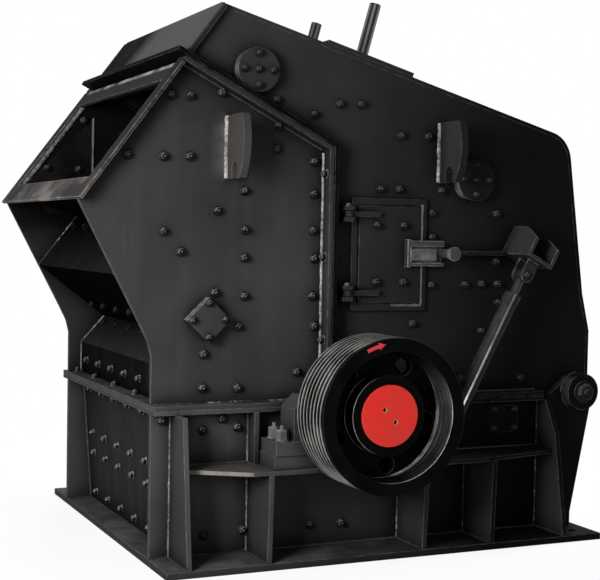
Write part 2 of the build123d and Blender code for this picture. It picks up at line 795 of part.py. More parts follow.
# rear upper housing
def rear_side(with_door):
    post_x = split_x + half_gap + flange_thickness
    outline = [(post_x, rear_floor_z), split_point(rear_lift_in, post_x - split_x)] + shell_inner
    plate = prism(outline, -rear_outer, -rear_inner)
    plate = round_corner(plate, shell_inner[2][0], shell_inner[2][1], roof_corner_radius - shell_thickness)
    plate += cross_rod(hinge_x, hinge_z, hinge_ear_radius, -rear_outer, -rear_inner)
    plate += block(rotor_x, flange_side_end_x, -flange_outer, -rear_inner, rear_flange_low_z, rear_floor_z)
    plate += block(flange_side_end_x, rear_bottom_front_x, -rear_outer, -rear_inner,
                   rear_flange_low_z, rear_floor_z)
    plate -= cross_rod(hinge_x, hinge_z, hinge_pin_radius + hinge_running_gap, -rear_outer, -rear_inner)
    plate -= shaft_hole()
    for shaft_x, shaft_z in ((front_apron_x, front_apron_z), (rear_apron_x, rear_apron_z)):
        plate -= cross_rod(shaft_x, shaft_z, apron_shaft_radius, -rear_outer, -rear_inner)
    if with_door:
        inset = door_frame_strip + door_hole_inset
        plate -= block(door_frame_front_x + inset, door_frame_rear_x - inset, -rear_outer, -rear_inner,
                       door_frame_low_z + inset, door_frame_high_z - inset)
    plate += lifting_lug(rear_lug_x, rear_lug_low_z, rear_lug_high_z, rear_outer)
    return plate + block(stay_front_x, stay_rear_x, -stay_outer, -rear_outer,
                         stay_z - stay_thickness / 2, stay_z + stay_thickness / 2)


def rear_shell():
    shell = prism(shell_outer + shell_inner[::-1], -rear_outer, rear_outer)
    shell = round_corner(shell, shell_inner[2][0], shell_inner[2][1], roof_corner_radius - shell_thickness)
    shell = round_corner(shell, roof_end_x, roof_end_z, roof_corner_radius)
    shell += block(rear_bottom_front_x, rear_wall_low_x - shell_thickness, -rear_inner, rear_inner,
                   rear_floor_z, rear_floor_z + shell_thickness)
    rim = hood_rim()
    return shell + rim + far(rim)


def hood_rim():
    foot = shell_outer[0]
    hood_way = unit(foot, (apex_x, apex_z))
    hood_in = (hood_way[1], -hood_way[0])
    top = step((apex_x, apex_z), hood_way, -hood_rim_short)
    edges = []
    for depth in (0, hood_rim_thickness * hood_rim_share, hood_rim_thickness):
        edges.append((meet(foot, split_way, step(foot, hood_in, depth), hood_way),
                      step(top, hood_in, depth)))
    rim_outer = rear_outer + hood_rim_reach
    bar = prism([edges[0][0], edges[0][1], edges[1][1], edges[1][0]], -rim_outer, -rear_outer)
    return bar + prism([edges[1][0], edges[1][1], edges[2][1], edges[2][0]],
                       -rim_outer + hood_rim_step, -rear_outer)


def rear_flange():
    face_x = split_x + half_gap
    low_start = step(split_start(rear_lift), split_way, -rear_flange_overhang)
    high_start = step(low_start, split_up, flange_thickness)
    face = [low_start, split_point(rear_lift, half_gap), (face_x, rear_floor_z)]
    inner = [(face_x + flange_thickness, rear_floor_z),
             split_point(rear_lift_in, half_gap + flange_thickness), high_start]
    body = prism(face + inner, -flange_outer, -rear_inner) + prism(face + inner, rear_inner, flange_outer)
    bar_length = mouth_bar_width + rear_flange_overhang
    bar = [low_start, step(low_start, split_way, bar_length), step(high_start, split_way, bar_length),
           high_start]
    return body + prism(bar, -rear_inner, rear_inner) - shaft_hole()


def on_roof(x, lift):
    on_line = meet((apex_x, apex_z), roof_way, (x, 0), up_way)
    return step(on_line, roof_up, lift)


def roof_plate():
    outline = [on_roof(roof_plate_start_x, 0), on_roof(roof_plate_end_x, 0),
               on_roof(roof_plate_end_x, roof_plate_thickness),
               on_roof(roof_plate_start_x, roof_plate_thickness)]
    return prism(outline, -rear_outer, rear_outer)


def apron_rod():
    foot = on_roof(apron_rod_x, roof_plate_thickness)
    lean = math.degrees(math.atan2(roof_up[0], roof_up[1]))
    upright = (Align.CENTER, Align.CENTER, Align.MIN)
    rod = Cylinder(apron_rod_radius, apron_rod_length - roof_plate_thickness, align=upright)
    rod += extrude(RegularPolygon(apron_rod_nut_radius, 6), amount=apron_rod_nut_height)
    return Pos(foot[0], -apron_rod_y, foot[1]) * Rot(0, lean, 0) * rod


def apron(x, z, knee, end):
    path = [(x, z), knee, end]
    body = prism(ribbon(path, apron_thickness), -apron_half_width, apron_half_width)
    body += cross_rod(x, z, apron_eye_radius, -apron_half_width, apron_half_width)
    body += cross_rod(x, z, apron_shaft_radius, -rear_outer, rear_outer)
    cover_outer = rear_outer + apron_cover_thickness
    body += cross_rod(x, z, apron_cover_radius, -cover_outer, -rear_outer)
    return body + cross_rod(x, z, apron_cover_radius, rear_outer, cover_outer)


def front_apron():
    return apron(front_apron_x, front_apron_z, (front_apron_knee_x, front_apron_knee_z),
                 (front_apron_end_x, front_apron_end_z))


def rear_apron():
    return apron(rear_apron_x, rear_apron_z, (rear_apron_knee_x, rear_apron_knee_z),
                 (rear_apron_end_x, rear_apron_end_z))


# access door, its frame and latch
def frame_ring():
    ring = block(door_frame_front_x, door_frame_rear_x, -door_frame_outer, -rear_outer,
                 door_frame_low_z, door_frame_high_z)
    return ring - block(door_frame_front_x + door_frame_strip, door_frame_rear_x - door_frame_strip,
                        -door_frame_outer, -rear_outer, door_frame_low_z + door_frame_strip,
                        door_frame_high_z - door_frame_strip)


def door_brackets():
    half_eye = door_strap_height / 2
    inner = half_eye + door_bracket_gap
    outer = inner + door_bracket_plate
    plate_end_x = door_hinge_x + door_bracket_tail
    body = None
    for hinge_height in (door_hinge_low_z, door_hinge_high_z):
        pin = upright_rod(door_hinge_x, -door_hinge_y, door_pin_radius,
                          hinge_height - inner, hinge_height + inner)
        low = block(door_bracket_front_x, plate_end_x, -door_bracket_outer, -rear_outer,
                    hinge_height - outer, hinge_height - inner)
        high = block(door_bracket_front_x, plate_end_x, -door_bracket_outer, -rear_outer,
                     hinge_height + inner, hinge_height + outer)
        pad = block(door_bracket_front_x, door_frame_front_x, -rear_outer - door_bracket_pad, -rear_outer,
                    hinge_height - outer, hinge_height + outer)
        hinge = pin + low + high + pad
        body = hinge if body is None else body + hinge
    return body


def door_frame():
    return frame_ring() + door_brackets()


def door_board(inner):
    inset = door_frame_strip + door_panel_gap
    return block(door_frame_front_x + inset, door_frame_rear_x - inset, -door_panel_outer, -inner,
                 door_frame_low_z + inset, door_frame_high_z - inset)


def door_strap(hinge_height):
    low_z = hinge_height - door_strap_height / 2
    high_z = hinge_height + door_strap_height / 2
    strap = block(door_hinge_x, door_strap_end_x, -door_panel_outer - door_strap_thickness,
                  -door_panel_outer, low_z, high_z)
    strap += upright_rod(door_hinge_x, -door_hinge_y, door_eye_radius, low_z, high_z)
    bore = door_pin_radius + door_running_gap
    return strap - upright_rod(door_hinge_x, -door_hinge_y, bore, low_z, high_z)


def door_panel():
    return door_board(door_panel_inner) + door_strap(door_hinge_low_z) + door_strap(door_hinge_high_z)


def door_latch():
    wall = -door_panel_outer
    low_y = wall - latch_depth
    low_z = latch_z - latch_half_height
    high_z = latch_z + latch_half_height
    body = block(latch_front_x, latch_front_x + latch_plate_width, low_y, wall,
                 low_z - latch_plate_extra, high_z + latch_plate_extra)
    body += block(latch_front_x, latch_rear_x, low_y, wall, high_z - latch_top_bar, high_z)
    body += block(latch_front_x, latch_rear_x, low_y, wall, low_z, low_z + latch_low_bar)
    body += block(latch_front_x, latch_rear_x, wall - latch_back_thickness, wall, low_z, high_z)
    tongue_y = wall - latch_tongue_depth
    tongue_low = low_z + latch_low_bar + latch_tongue_gap
    tongue_high = high_z - latch_top_bar - latch_tongue_gap
    tongue = [(wall, tongue_low), (tongue_y + latch_tongue_bevel, tongue_low),
              (tongue_y, tongue_low + latch_tongue_bevel), (tongue_y, tongue_high - latch_tongue_bevel),
              (tongue_y + latch_tongue_bevel, tongue_high), (wall, tongue_high)]
    body += fin(tongue, latch_front_x, latch_tongue_rear_x)
    stem_end = wall - latch_stem_length
    body += cross_rod(latch_rear_x, latch_z, latch_stem_radius, stem_end, wall)
    return body + cross_rod(latch_rear_x, latch_z, latch_knob_radius, stem_end - latch_knob_depth, stem_end)


def fixed_door():
    board = frame_ring() + door_board(rear_outer) + door_brackets()
    for hinge_height in (door_hinge_low_z, door_hinge_high_z):
        board += door_strap(hinge_height)
        board += upright_rod(door_hinge_x, -door_hinge_y, door_pin_radius + door_running_gap,
                             hinge_height - door_strap_height / 2, hinge_height + door_strap_height / 2)
    return far(board + door_latch())


# opening cylinder
def along_cylinder(distance, offset):
    on_axis = step((cylinder_foot_x, cylinder_foot_z), cylinder_way, distance)
    return step(on_axis, cylinder_right, offset)


def cylinder_piece(radius, start, end):
    foot = along_cylinder(start, 0)
    lean = math.degrees(math.atan2(cylinder_way[0], cylinder_way[1]))
    upright = (Align.CENTER, Align.CENTER, Align.MIN)
    rod = Cylinder(radius, end - start, align=upright)
    return Pos(foot[0], -cylinder_y, foot[1]) * Rot(0, lean, 0) * rod


def barrel():
    half_eye = foot_eye_width / 2
    body = cylinder_piece(barrel_radius, barrel_start, barrel_end)
    body += cylinder_piece(gland_radius, barrel_end - gland_length, barrel_end)
    body -= cylinder_piece(barrel_bore_radius, barrel_bore_start, barrel_end)
    eye = cross_rod(cylinder_foot_x, cylinder_foot_z, foot_eye_radius,
                    -cylinder_y - half_eye, -cylinder_y + half_eye)
    slot = block(cylinder_foot_x - barrel_end, cylinder_foot_x + barrel_end, -cylinder_y - barrel_end,
                 -cylinder_y - half_eye, cylinder_foot_z - foot_eye_radius,
                 cylinder_foot_z + foot_eye_radius * 2)
    body -= slot
    body -= Pos(0, -cylinder_y * 2, 0) * mirror(slot, about=Plane.XZ)
    body += eye
    hole = cross_rod(cylinder_foot_x, cylinder_foot_z, foot_pin_radius + foot_running_gap,
                     -cylinder_y - half_eye, -cylinder_y + half_eye)
    return body - hole


def piston_rod():
    half_eye = rod_eye_width / 2
    body = cylinder_piece(rod_radius, rod_start, cylinder_length)
    body += cross_rod(cylinder_head_x, cylinder_head_z, rod_eye_radius,
                      -cylinder_y - half_eye, -cylinder_y + half_eye)
    head = cross_rod(cylinder_head_x, cylinder_head_z, rod_eye_hole_radius, -cylinder_y - half_eye * 2,
                     -cylinder_y + half_eye * 2)
    slot_low = cross_rod(cylinder_head_x, cylinder_head_z, rod_eye_radius, -cylinder_y - half_eye * 2,
                         -cylinder_y - half_eye)
    slot_high = cross_rod(cylinder_head_x, cylinder_head_z, rod_eye_radius, -cylinder_y + half_eye,
                          -cylinder_y + half_eye * 2)
    return body - head - slot_low - slot_high


def cylinder_bracket():
    half_eye = rod_eye_width / 2
    reach = -bracket_reach
    wall = -rear_outer
    start = cylinder_length + bracket_clear
    left = -bracket_half_width - bracket_plate
    right = bracket_half_width + bracket_plate
    end_outline = [along_cylinder(start, left), along_cylinder(start + bracket_end_thickness, left),
                   along_cylinder(start + bracket_end_thickness, right), along_cylinder(start, right)]
    body = prism(end_outline, reach, wall)
    top = start + bracket_end_thickness + bracket_height
    for offset in (left, bracket_half_width):
        gusset_outline = [along_cylinder(start + bracket_end_thickness, offset), along_cylinder(top, offset),
                          along_cylinder(top, offset + bracket_plate),
                          along_cylinder(start + bracket_end_thickness, offset + bracket_plate)]
        gusset = prism(gusset_outline, reach, wall)
        body += gusset
    shoulder = top - bracket_height * bracket_shoulder_share
    slope = [(shoulder, reach), (top, -bracket_top_reach), (top, reach)]
    cut_low = along_cylinder(0, 0)
    lean = math.degrees(math.atan2(cylinder_way[0], cylinder_way[1]))
    cutter = fin([(y, distance) for distance, y in slope], right * -2, right * 2)
    body -= Pos(cut_low[0], 0, cut_low[1]) * Rot(0, lean, 0) * cutter
    ear_outline = [along_cylinder(cylinder_length, -ear_radius), along_cylinder(start, -ear_radius),
                   along_cylinder(start, ear_radius), along_cylinder(cylinder_length, ear_radius)]
    inner = half_eye + ear_gap
    for low in (-inner - ear_thickness, inner):
        low_y = -cylinder_y + low
        high_y = low_y + ear_thickness
        ear = prism(ear_outline, low_y, high_y)
        ear += cross_rod(cylinder_head_x, cylinder_head_z, ear_radius, low_y, high_y)
        body += ear - cross_rod(cylinder_head_x, cylinder_head_z, ear_hole_radius, low_y, high_y)
    return body


# rotor, shaft and pulley
def rotor_shaft():
    return cross_rod(rotor_x, rotor_z, shaft_radius, -shaft_near_end, shaft_far_end)


def rotor_body():
    pitch = (rotor_half_width * 2 - rotor_disc_thickness) / (rotor_disc_count - 1)
    drum = None
    for index in range(blow_bar_count):
        turn = 360 / blow_bar_count * index
        bar = block(-blow_bar_width / 2, blow_bar_width / 2, -rotor_half_width, rotor_half_width,
                    blow_bar_root_radius, blow_bar_tip_radius)
        bar = Pos(rotor_x, 0, rotor_z) * Rot(0, turn, 0) * bar
        drum = bar if drum is None else drum + bar
    for index in range(rotor_disc_count):
        low = -rotor_half_width + pitch * index
        drum += cross_rod(rotor_x, rotor_z, rotor_disc_radius, low, low + rotor_disc_thickness)
    return drum - cross_rod(rotor_x, rotor_z, shaft_radius, -rotor_half_width, rotor_half_width)


def pulley_groove(index):
    pitch = (pulley_front - pulley_back) / pulley_groove_count
    middle = pulley_back + pitch * index + pitch / 2
    mouth = pitch * pulley_groove_mouth_share / 2
    floor = pitch * pulley_groove_floor_share / 2
    depth_radius = pulley_radius - pulley_groove_depth
    profile = [(depth_radius, middle - floor), (pulley_radius, middle - mouth),
               (pulley_radius, middle + mouth), (depth_radius, middle + floor)]
    face = Plane.XZ * make_face(Polyline(profile, close=True))
    ring = revolve(face, axis=Axis.Z)
    return Pos(rotor_x, 0, rotor_z) * Rot(90, 0, 0) * ring


def pulley():
    rim = cross_rod(rotor_x, rotor_z, pulley_radius, -pulley_front, -pulley_back)
    rim -= cross_rod(rotor_x, rotor_z, pulley_rim_inner, -pulley_front, -pulley_back)
    for index in range(pulley_groove_count):
        rim -= pulley_groove(index)
    web = cross_rod(rotor_x, rotor_z, pulley_rim_inner,
                    -pulley_web_front, -pulley_web_front + pulley_web_thickness)
    for index in range(pulley_hole_count):
        angle = math.radians(pulley_hole_turn + 360 / pulley_hole_count * index)
        hole_x = rotor_x + pulley_hole_circle * math.cos(angle)
        hole_z = rotor_z + pulley_hole_circle * math.sin(angle)
        web -= cross_rod(hole_x, hole_z, pulley_hole_radius, -pulley_front, -pulley_back)
    hub = cross_rod(rotor_x, rotor_z, pulley_hub_radius, -pulley_hub_front, -pulley_hub_back)
    body = rim + web + hub
    return body - cross_rod(rotor_x, rotor_z, shaft_radius, -shaft_near_end, -pulley_hub_back)


def pulley_cap():
    cap = cross_rod(rotor_x, rotor_z, cap_radius, -cap_front, -pulley_hub_front)
    for way in (-1, 1):
        cap -= cross_rod(rotor_x + way * cap_hole_offset, rotor_z - way * cap_hole_offset, cap_hole_radius,
                         -cap_front, -pulley_hub_front)
    return cap


def pieces():
    return {
        "base_plate": base_plate(),
        "base_side_near": base_side(),
        "base_side_far": far(base_side()),
        "base_front_wall": base_front_wall(),
        "base_rear_wall": base_rear_wall(),
        "base_flange_front": base_flange(flange_front_x, rotor_x),
        "base_flange_rear": base_flange(rotor_x, base_rear_wall_x) + rear_lip(),
        "rib_shelf_near": rib_shelf(),
        "rib_shelf_far": far(rib_shelf()),
        "bearing_near": bearing(),
        "bearing_far": far(bearing()),
        "hinge_carrier_near": hinge_carrier(),
        "hinge_carrier_far": far(hinge_carrier()),
        "cylinder_foot_near": cylinder_foot(),
        "cylinder_foot_far": far(cylinder_foot()),
        "front_side_near": front_side(),
        "front_side_far": far(front_side()),
        "front_wall": front_wall(),
        "front_flange": front_flange(),
        "feed_frame": feed_frame(),
        "diamond_cover_near": diamond_cover(),
        "diamond_cover_far": far(diamond_cover()),
        "rear_side_near": rear_side(True),
        "rear_side_far": far(rear_side(False)),
        "rear_shell": rear_shell(),
        "rear_flange": rear_flange(),
        "roof_plate": roof_plate(),
        "apron_rod_near": apron_rod(),
        "apron_rod_far": far(apron_rod()),
        "front_apron": front_apron(),
        "rear_apron": rear_apron(),
        "door_frame_near": door_frame(),
        "door_far": fixed_door(),
        "door_panel": door_panel(),
        "door_latch": door_latch(),
        "cylinder_bracket_near": cylinder_bracket(),
        "cylinder_bracket_far": far(cylinder_bracket()),
        "cylinder_barrel_near": barrel(),
        "cylinder_barrel_far": far(barrel()),
        "cylinder_rod_near": piston_rod(),
        "cylinder_rod_far": far(piston_rod()),
        "rotor_shaft": rotor_shaft(),
        "rotor_body": rotor_body(),
        "pulley": pulley(),
        "pulley_cap": pulley_cap(),
    }


os.makedirs("parts", exist_ok=True)
for name, shape in pieces().items():
    export_step(shape, "parts/" + name + ".step")
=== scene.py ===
import bpy
import math
from mathutils import Euler, Matrix, Vector


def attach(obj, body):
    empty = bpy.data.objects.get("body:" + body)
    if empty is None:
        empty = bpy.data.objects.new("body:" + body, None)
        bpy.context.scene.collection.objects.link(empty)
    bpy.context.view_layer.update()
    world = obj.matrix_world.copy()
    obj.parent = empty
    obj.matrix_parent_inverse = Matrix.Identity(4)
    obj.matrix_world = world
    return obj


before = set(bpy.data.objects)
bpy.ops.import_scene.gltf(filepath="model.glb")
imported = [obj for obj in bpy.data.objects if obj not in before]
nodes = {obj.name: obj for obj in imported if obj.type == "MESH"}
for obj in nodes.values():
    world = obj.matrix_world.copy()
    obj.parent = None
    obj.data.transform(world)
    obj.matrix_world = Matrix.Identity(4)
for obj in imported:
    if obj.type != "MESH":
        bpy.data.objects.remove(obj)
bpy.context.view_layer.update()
bpy.context.scene.view_settings.view_transform = "Standard"
print("frame in,", len(nodes), "nodes")

# camera, worked out from the straight edges in the photograph
photoCamera = {"place": (-3.165, -6.802, 1.622), "turn": 24.32, "dip": 2.46, "roll": 1.04, "lens": 78.55}
bpy.ops.object.select_all(action="DESELECT")
bpy.ops.object.camera_add(location=photoCamera["place"])
camera = bpy.context.object
camera.name = "photoCamera"
aim = Euler((math.radians(90 - photoCamera["dip"]), 0, -math.radians(photoCamera["turn"]))).to_matrix()
camera.rotation_euler = (aim @ Matrix.Rotation(math.radians(photoCamera["roll"]), 3, "Z")).to_euler()
camera.data.lens = photoCamera["lens"]
camera.data.sensor_width = 36
bpy.context.scene.camera = camera
print("camera set")


# a socket that does sums, and the one way nodes get made
class Wire:
    def __init__(self, tree, socket=None):
        self.tree = tree
        self.socket = socket

    def node(self, kind, settings=None, values=None, out=0):
        made = self.tree.nodes.new(kind)
        for key, value in (settings or {}).items():
            setattr(made, key, value)
        for key, value in (values or {}).items():
            if isinstance(value, Wire):
                self.tree.links.new(value.socket, made.inputs[key])
            else:
                made.inputs[key].default_value = value
        return Wire(self.tree, made.outputs[out])

    def sum(self, operation, first, second=0.0):
        return self.node("ShaderNodeMath", {"operation": operation}, {0: first, 1: second})

    def __add__(self, other):
        return self.sum("ADD", self, other)

    def __radd__(self, other):
        return self.sum("ADD", other, self)

    def __sub__(self, other):
        return self.sum("SUBTRACT", self, other)

    def __rsub__(self, other):
        return self.sum("SUBTRACT", other, self)

    def __mul__(self, other):
        return self.sum("MULTIPLY", self, other)

    def __rmul__(self, other):
        return self.sum("MULTIPLY", other, self)

    def __gt__(self, other):
        return self.sum("GREATER_THAN", self, other)

    def __lt__(self, other):
        return self.sum("LESS_THAN", self, other)

    def __abs__(self):
        return self.sum("ABSOLUTE", self)

    def most(self, other):
        return self.sum("MAXIMUM", self, other)

    def root(self):
        return self.sum("SQRT", self)


def spread(value, low, high):  # low to high becomes 0 to 1
    return value.node("ShaderNodeMapRange", {"clamp": True},
                      {"Value": value, "From Min": low, "From Max": high})


def noise(place, scale, detail=3.0, stretch=None, rough=0.55):
    if stretch:
        place = place.node("ShaderNodeMapping", {}, {"Vector": place, "Scale": stretch})
    return place.node("ShaderNodeTexNoise", {}, {"Vector": place, "Scale": scale, "Detail": detail,
                                                 "Roughness": rough})


def patch(place, scale, detail, low, high):  # noise spread to 0 and 1
    return spread(noise(place, scale, detail), low, high)


def tint(mask, first, second):
    return mask.node("ShaderNodeMix", {"data_type": "RGBA"}, {0: mask, 6: first, 7: second}, out=2)


def axes(vector):
    parts = vector.node("ShaderNodeSeparateXYZ", {}, {"Vector": vector}).socket.node.outputs
    return [Wire(vector.tree, parts[letter]) for letter in "XYZ"]


def dot(first, second):
    return first.node("ShaderNodeVectorMath", {"operation": "DOT_PRODUCT"}, {0: first, 1: second}, out="Value")


def rgb(red, green, blue):
    return (red, green, blue, 1.0)


def grey(tone):
    return rgb(tone, tone, tone)


def newFinish(name):
    finish = bpy.data.materials.new(name)
    finish.use_nodes = True
    start = Wire(finish.node_tree)
    place = start.node("ShaderNodeTexCoord", out="Object")
    facing = start.node("ShaderNodeTexCoord", out="Normal")
    return finish, finish.node_tree.nodes["Principled BSDF"], place, facing


def feed(shader, **sockets):  # links or values on the shader, names with _ for a space
    for key, value in sockets.items():
        socket = shader.inputs[key.replace("_", " ")]
        if isinstance(value, Wire):
            value.tree.links.new(value.socket, socket)
        else:
            socket.default_value = value


def flatNormal(place):
    return place.node("ShaderNodeNewGeometry", out="Normal")


def softEdge(place, radius):  # rounded normal and a mask of the edges
    rounded = place.node("ShaderNodeBevel", {"samples": 6}, {"Radius": radius})
    return rounded, spread(1 - dot(rounded, flatNormal(place)), 0.01, 0.16)


def bump(height, strength, distance, normal):
    return height.node("ShaderNodeBump", {}, {"Height": height, "Strength": strength,
                                              "Distance": distance, "Normal": normal})


# black paint on plate, in a few states of dust and wear, and darker copies as painted shade
# fade is where the paint gets deeper, as painted shade where the light falls off, and as cleaner paint on the
# mouth frame: axis, from, to, how much
# feedDark is the painted shade on faces turned to the feed, inner the painted shade on the inner sides of the
# plates
plainPaint = {"gloss": 0.015, "inner": 0.0, "innerLow": 0.0, "innerHigh": (0.6, 1.6), "feedDark": 0.0}
paintLooks = {
    "frontPaint": {"dark": rgb(0.022, 0.0215, 0.0215), "light": rgb(0.038, 0.0372, 0.0370),
                   "dust": rgb(0.11, 0.104, 0.10), "wornAndLit": rgb(0.20, 0.19, 0.185),
                   "deep": grey(0.0022), "fade": (2, 1.35, 2.6, 0.55), "inner": 0.965,
                   "innerLow": 0.42, "innerHigh": (1.50, 1.66),
                   "rough": 0.46, "settle": 0.85, "runs": 0.09, "edge": 0.48, "cornerShade": 0.85},
    # stepped front wall: a darker copy of the black paint, as painted shade under the mouth
    "shadedRecessPaint": {"dark": grey(0.0035), "light": rgb(0.008, 0.0079, 0.0078),
                    "dust": rgb(0.045, 0.042, 0.040), "wornAndLit": rgb(0.16, 0.155, 0.15),
                    "deep": grey(0.0013), "fade": (2, 0.7, 1.3, 0.95), "gloss": 0.0,
                    "rough": 0.46, "settle": 0.12, "runs": 0.20, "edge": 0.28, "cornerShade": 0.9},
    # base front wall: a darker copy of the black paint, as painted shade
    "shadedWallPaint": {"dark": rgb(0.0095, 0.0094, 0.0093), "light": rgb(0.0175, 0.0172, 0.0170),
                  "dust": rgb(0.045, 0.043, 0.041), "wornAndLit": rgb(0.16, 0.155, 0.15),
                  "deep": grey(0.003), "fade": (2, 0.5, 0.75, 0.5), "gloss": 0.005,
                  "rough": 0.46, "settle": 0.45, "runs": 0.25, "edge": 0.50, "cornerShade": 0.85},
    "basePaint": {"dark": rgb(0.036, 0.035, 0.035), "light": rgb(0.056, 0.054, 0.053),
                  "dust": rgb(0.12, 0.113, 0.106), "wornAndLit": rgb(0.20, 0.19, 0.185),
                  "deep": grey(0.0026), "fade": (0, -1.0, 0.60, 0.98), "inner": 0.22, "innerHigh": (0.0, 0.1),
                  "rough": 0.47, "settle": 0.75, "runs": 0.16, "edge": 0.55, "cornerShade": 0.80, "feedDark": 0.46},
    # rear housing: a darker copy of the black paint, as painted shade where the light falls off
    "shadedRearPaint": {"dark": grey(0.019), "light": rgb(0.030, 0.0295, 0.0295),
                  "dust": rgb(0.050, 0.047, 0.045), "wornAndLit": rgb(0.13, 0.127, 0.123),
                  "deep": rgb(0.0028, 0.0030, 0.0029), "fade": (0, -0.6, 0.9, 0.94), "inner": 0.5,
                  "rough": 0.44, "settle": 0.30, "runs": 0.08, "edge": 0.55, "cornerShade": 0.9},
    "fittingPaint": {"dark": grey(0.019), "light": grey(0.032),
                     "dust": rgb(0.070, 0.067, 0.065), "wornAndLit": rgb(0.26, 0.25, 0.245),
                     "deep": grey(0.005), "fade": (0, 0.3, 1.4, 0.5), "gloss": 0.05,
                     "rough": 0.40, "settle": 0.35, "runs": 0.08, "edge": 0.80, "cornerShade": 0.85},
    "latchPaint": {"dark": grey(0.026), "light": rgb(0.050, 0.049, 0.048),
                   "dust": rgb(0.12, 0.115, 0.11), "wornAndLit": rgb(0.34, 0.33, 0.32),
                   "deep": grey(0.010), "fade": (0, 0.3, 0.6, 0.6), "gloss": 0.06,
                   "rough": 0.38, "settle": 0.40, "runs": 0.10, "edge": 0.85, "cornerShade": 0.85},
    "mouthPaint": {"dark": rgb(0.020, 0.019, 0.018), "light": rgb(0.054, 0.050, 0.048),
                   "dust": rgb(0.17, 0.155, 0.145), "wornAndLit": rgb(0.26, 0.245, 0.235),
                   "deep": rgb(0.010, 0.0095, 0.0095), "fade": (2, 1.80, 2.20, 0.80), "gloss": 0.012,
                   "rough": 0.52, "settle": 0.30, "runs": 0.35, "edge": 0.80, "cornerShade": 0.7},
    "castPaint": {"dark": rgb(0.026, 0.0255, 0.0255), "light": rgb(0.052, 0.050, 0.049),
                  "dust": rgb(0.080, 0.075, 0.070), "wornAndLit": rgb(0.17, 0.165, 0.16),
                  "deep": grey(0.006), "fade": (0, -0.5, 0.3, 0.9), "inner": 0.4, "gloss": 0.03,
                  "rough": 0.50, "settle": 0.35, "runs": 0.10, "edge": 0.50, "cornerShade": 0.8, "feedDark": 0.2},
}
paintLooks["shadowBarPaint"] = {**paintLooks["shadedRearPaint"], "dark": grey(0.0014),
                         "light": grey(0.0035), "gloss": 0.002}  # rear flange, painted black as the shadow under the hood


# scales of the patterns in the paint, reach of a rubbed edge and of the dirt in a corner
paintGrain = {"patches": 1.3, "runs": (11.0, 11.0, 0.8), "blotch": 8.0, "chipsAndHighlights": 23.0, "fade": 2.2,
              "grit": 85.0, "gritPatch": 3.1, "skin": 210.0, "waves": 5.0, "edge": 0.007, "corner": 0.11}


# edge wear, which also carries painted highlights along the edges
def chipsAndHighlights(place, edges):
    return edges * patch(place, paintGrain["chipsAndHighlights"], 4.0, 0.36, 0.62)


def paintSurface(place, facing, look):
    grain = paintGrain
    patches = patch(place, grain["patches"], 5.0, 0.32, 0.68)
    runs = spread(noise(place, 1.0, 5.0, stretch=grain["runs"]), 0.50, 0.78)
    faceX, faceY, faceZ = axes(facing)
    where = axes(place)
    upward = spread(faceZ, 0.45, 0.9)
    settle = upward * patch(place, grain["blotch"], 5.0, 0.34, 0.70)
    rounded, edges = softEdge(place, grain["edge"])
    axis, fadeFrom, fadeTo, amount = look["fade"]
    cleanAndShade = spread(where[axis] + 0.25 * noise(place, grain["fade"], 3.0) - 0.125, fadeFrom, fadeTo) * amount
    if axis == 0:  # faces turned to either end, and the side away from the drive, get less of the painted falloff shade; faces turned to the feed get painted shade of their own
        cleanAndShade = cleanAndShade * spread(where[1], 0.55, -0.45) * (1 - 0.85 * spread(abs(faceX), 0.5, 0.9))
        cleanAndShade = cleanAndShade.most(look["feedDark"] * spread(faceX, -0.5, -0.9))
    # painted shade on the inner sides of the plates, deeper low down
    shade = look["innerLow"] + (1 - look["innerLow"]) * spread(where[2], *look["innerHigh"])
    inside = (faceY * where[1] < -0.3) * shade * look["inner"]
    # painted shade: darker in corners and creases, less on faces that look up
    corner = place.node("ShaderNodeAmbientOcclusion", {"samples": 5}, {"Distance": grain["corner"]}, out="AO")
    cornerShade = spread(corner, 0.94, 0.42) * look["cornerShade"] * (1 - 0.6 * upward)
    grit = patch(place, grain["grit"], 3.0, 0.54, 0.74)
    grit = grit * patch(place, grain["gritPatch"], 3.0, 0.35, 0.65)
    colour = tint(patches, look["dark"], look["light"])
    colour = tint(runs * look["runs"], colour, look["dust"])
    colour = tint(settle * look["settle"], colour, look["dust"])
    colour = tint(grit * 0.12, colour, look["dust"])
    colour = tint(cleanAndShade.most(inside), colour, look["deep"])
    colour = tint(cornerShade, colour, look["deep"])
    # edge wear and painted highlight along the plate edges
    colour = tint(chipsAndHighlights(place, edges) * look["edge"] * (1 - inside), colour, look["wornAndLit"])
    rough = look["rough"] + 0.10 * patches + 0.16 * settle - 0.06 * runs
    skin = noise(place, grain["skin"], 2.0) + 5.0 * noise(place, grain["waves"], 2.0)
    return colour, rough, bump(skin, 0.30, 0.0012, rounded)


def paintStart(name, look):  # a painted finish, ready for what is special to its piece
    look = {**plainPaint, **look}
    finish, shader, place, facing = newFinish(name)
    colour, rough, normal = paintSurface(place, facing, look)
    feed(shader, Base_Color=colour, Roughness=rough, Normal=normal, Specular_IOR_Level=look["gloss"])
    return finish, shader, colour, place, facing


# front side plates: a grey haze that the heat left beside the lug weld, and painted light on the lug
hazeLook = {"line": -0.868, "reach": 0.085, "low": (1.86, 1.95), "high": (2.22, 2.13), "amount": 0.85,
            "burnt": rgb(0.090, 0.084, 0.079), "lug": (0.815, 1.80), "lugLight": 0.16}


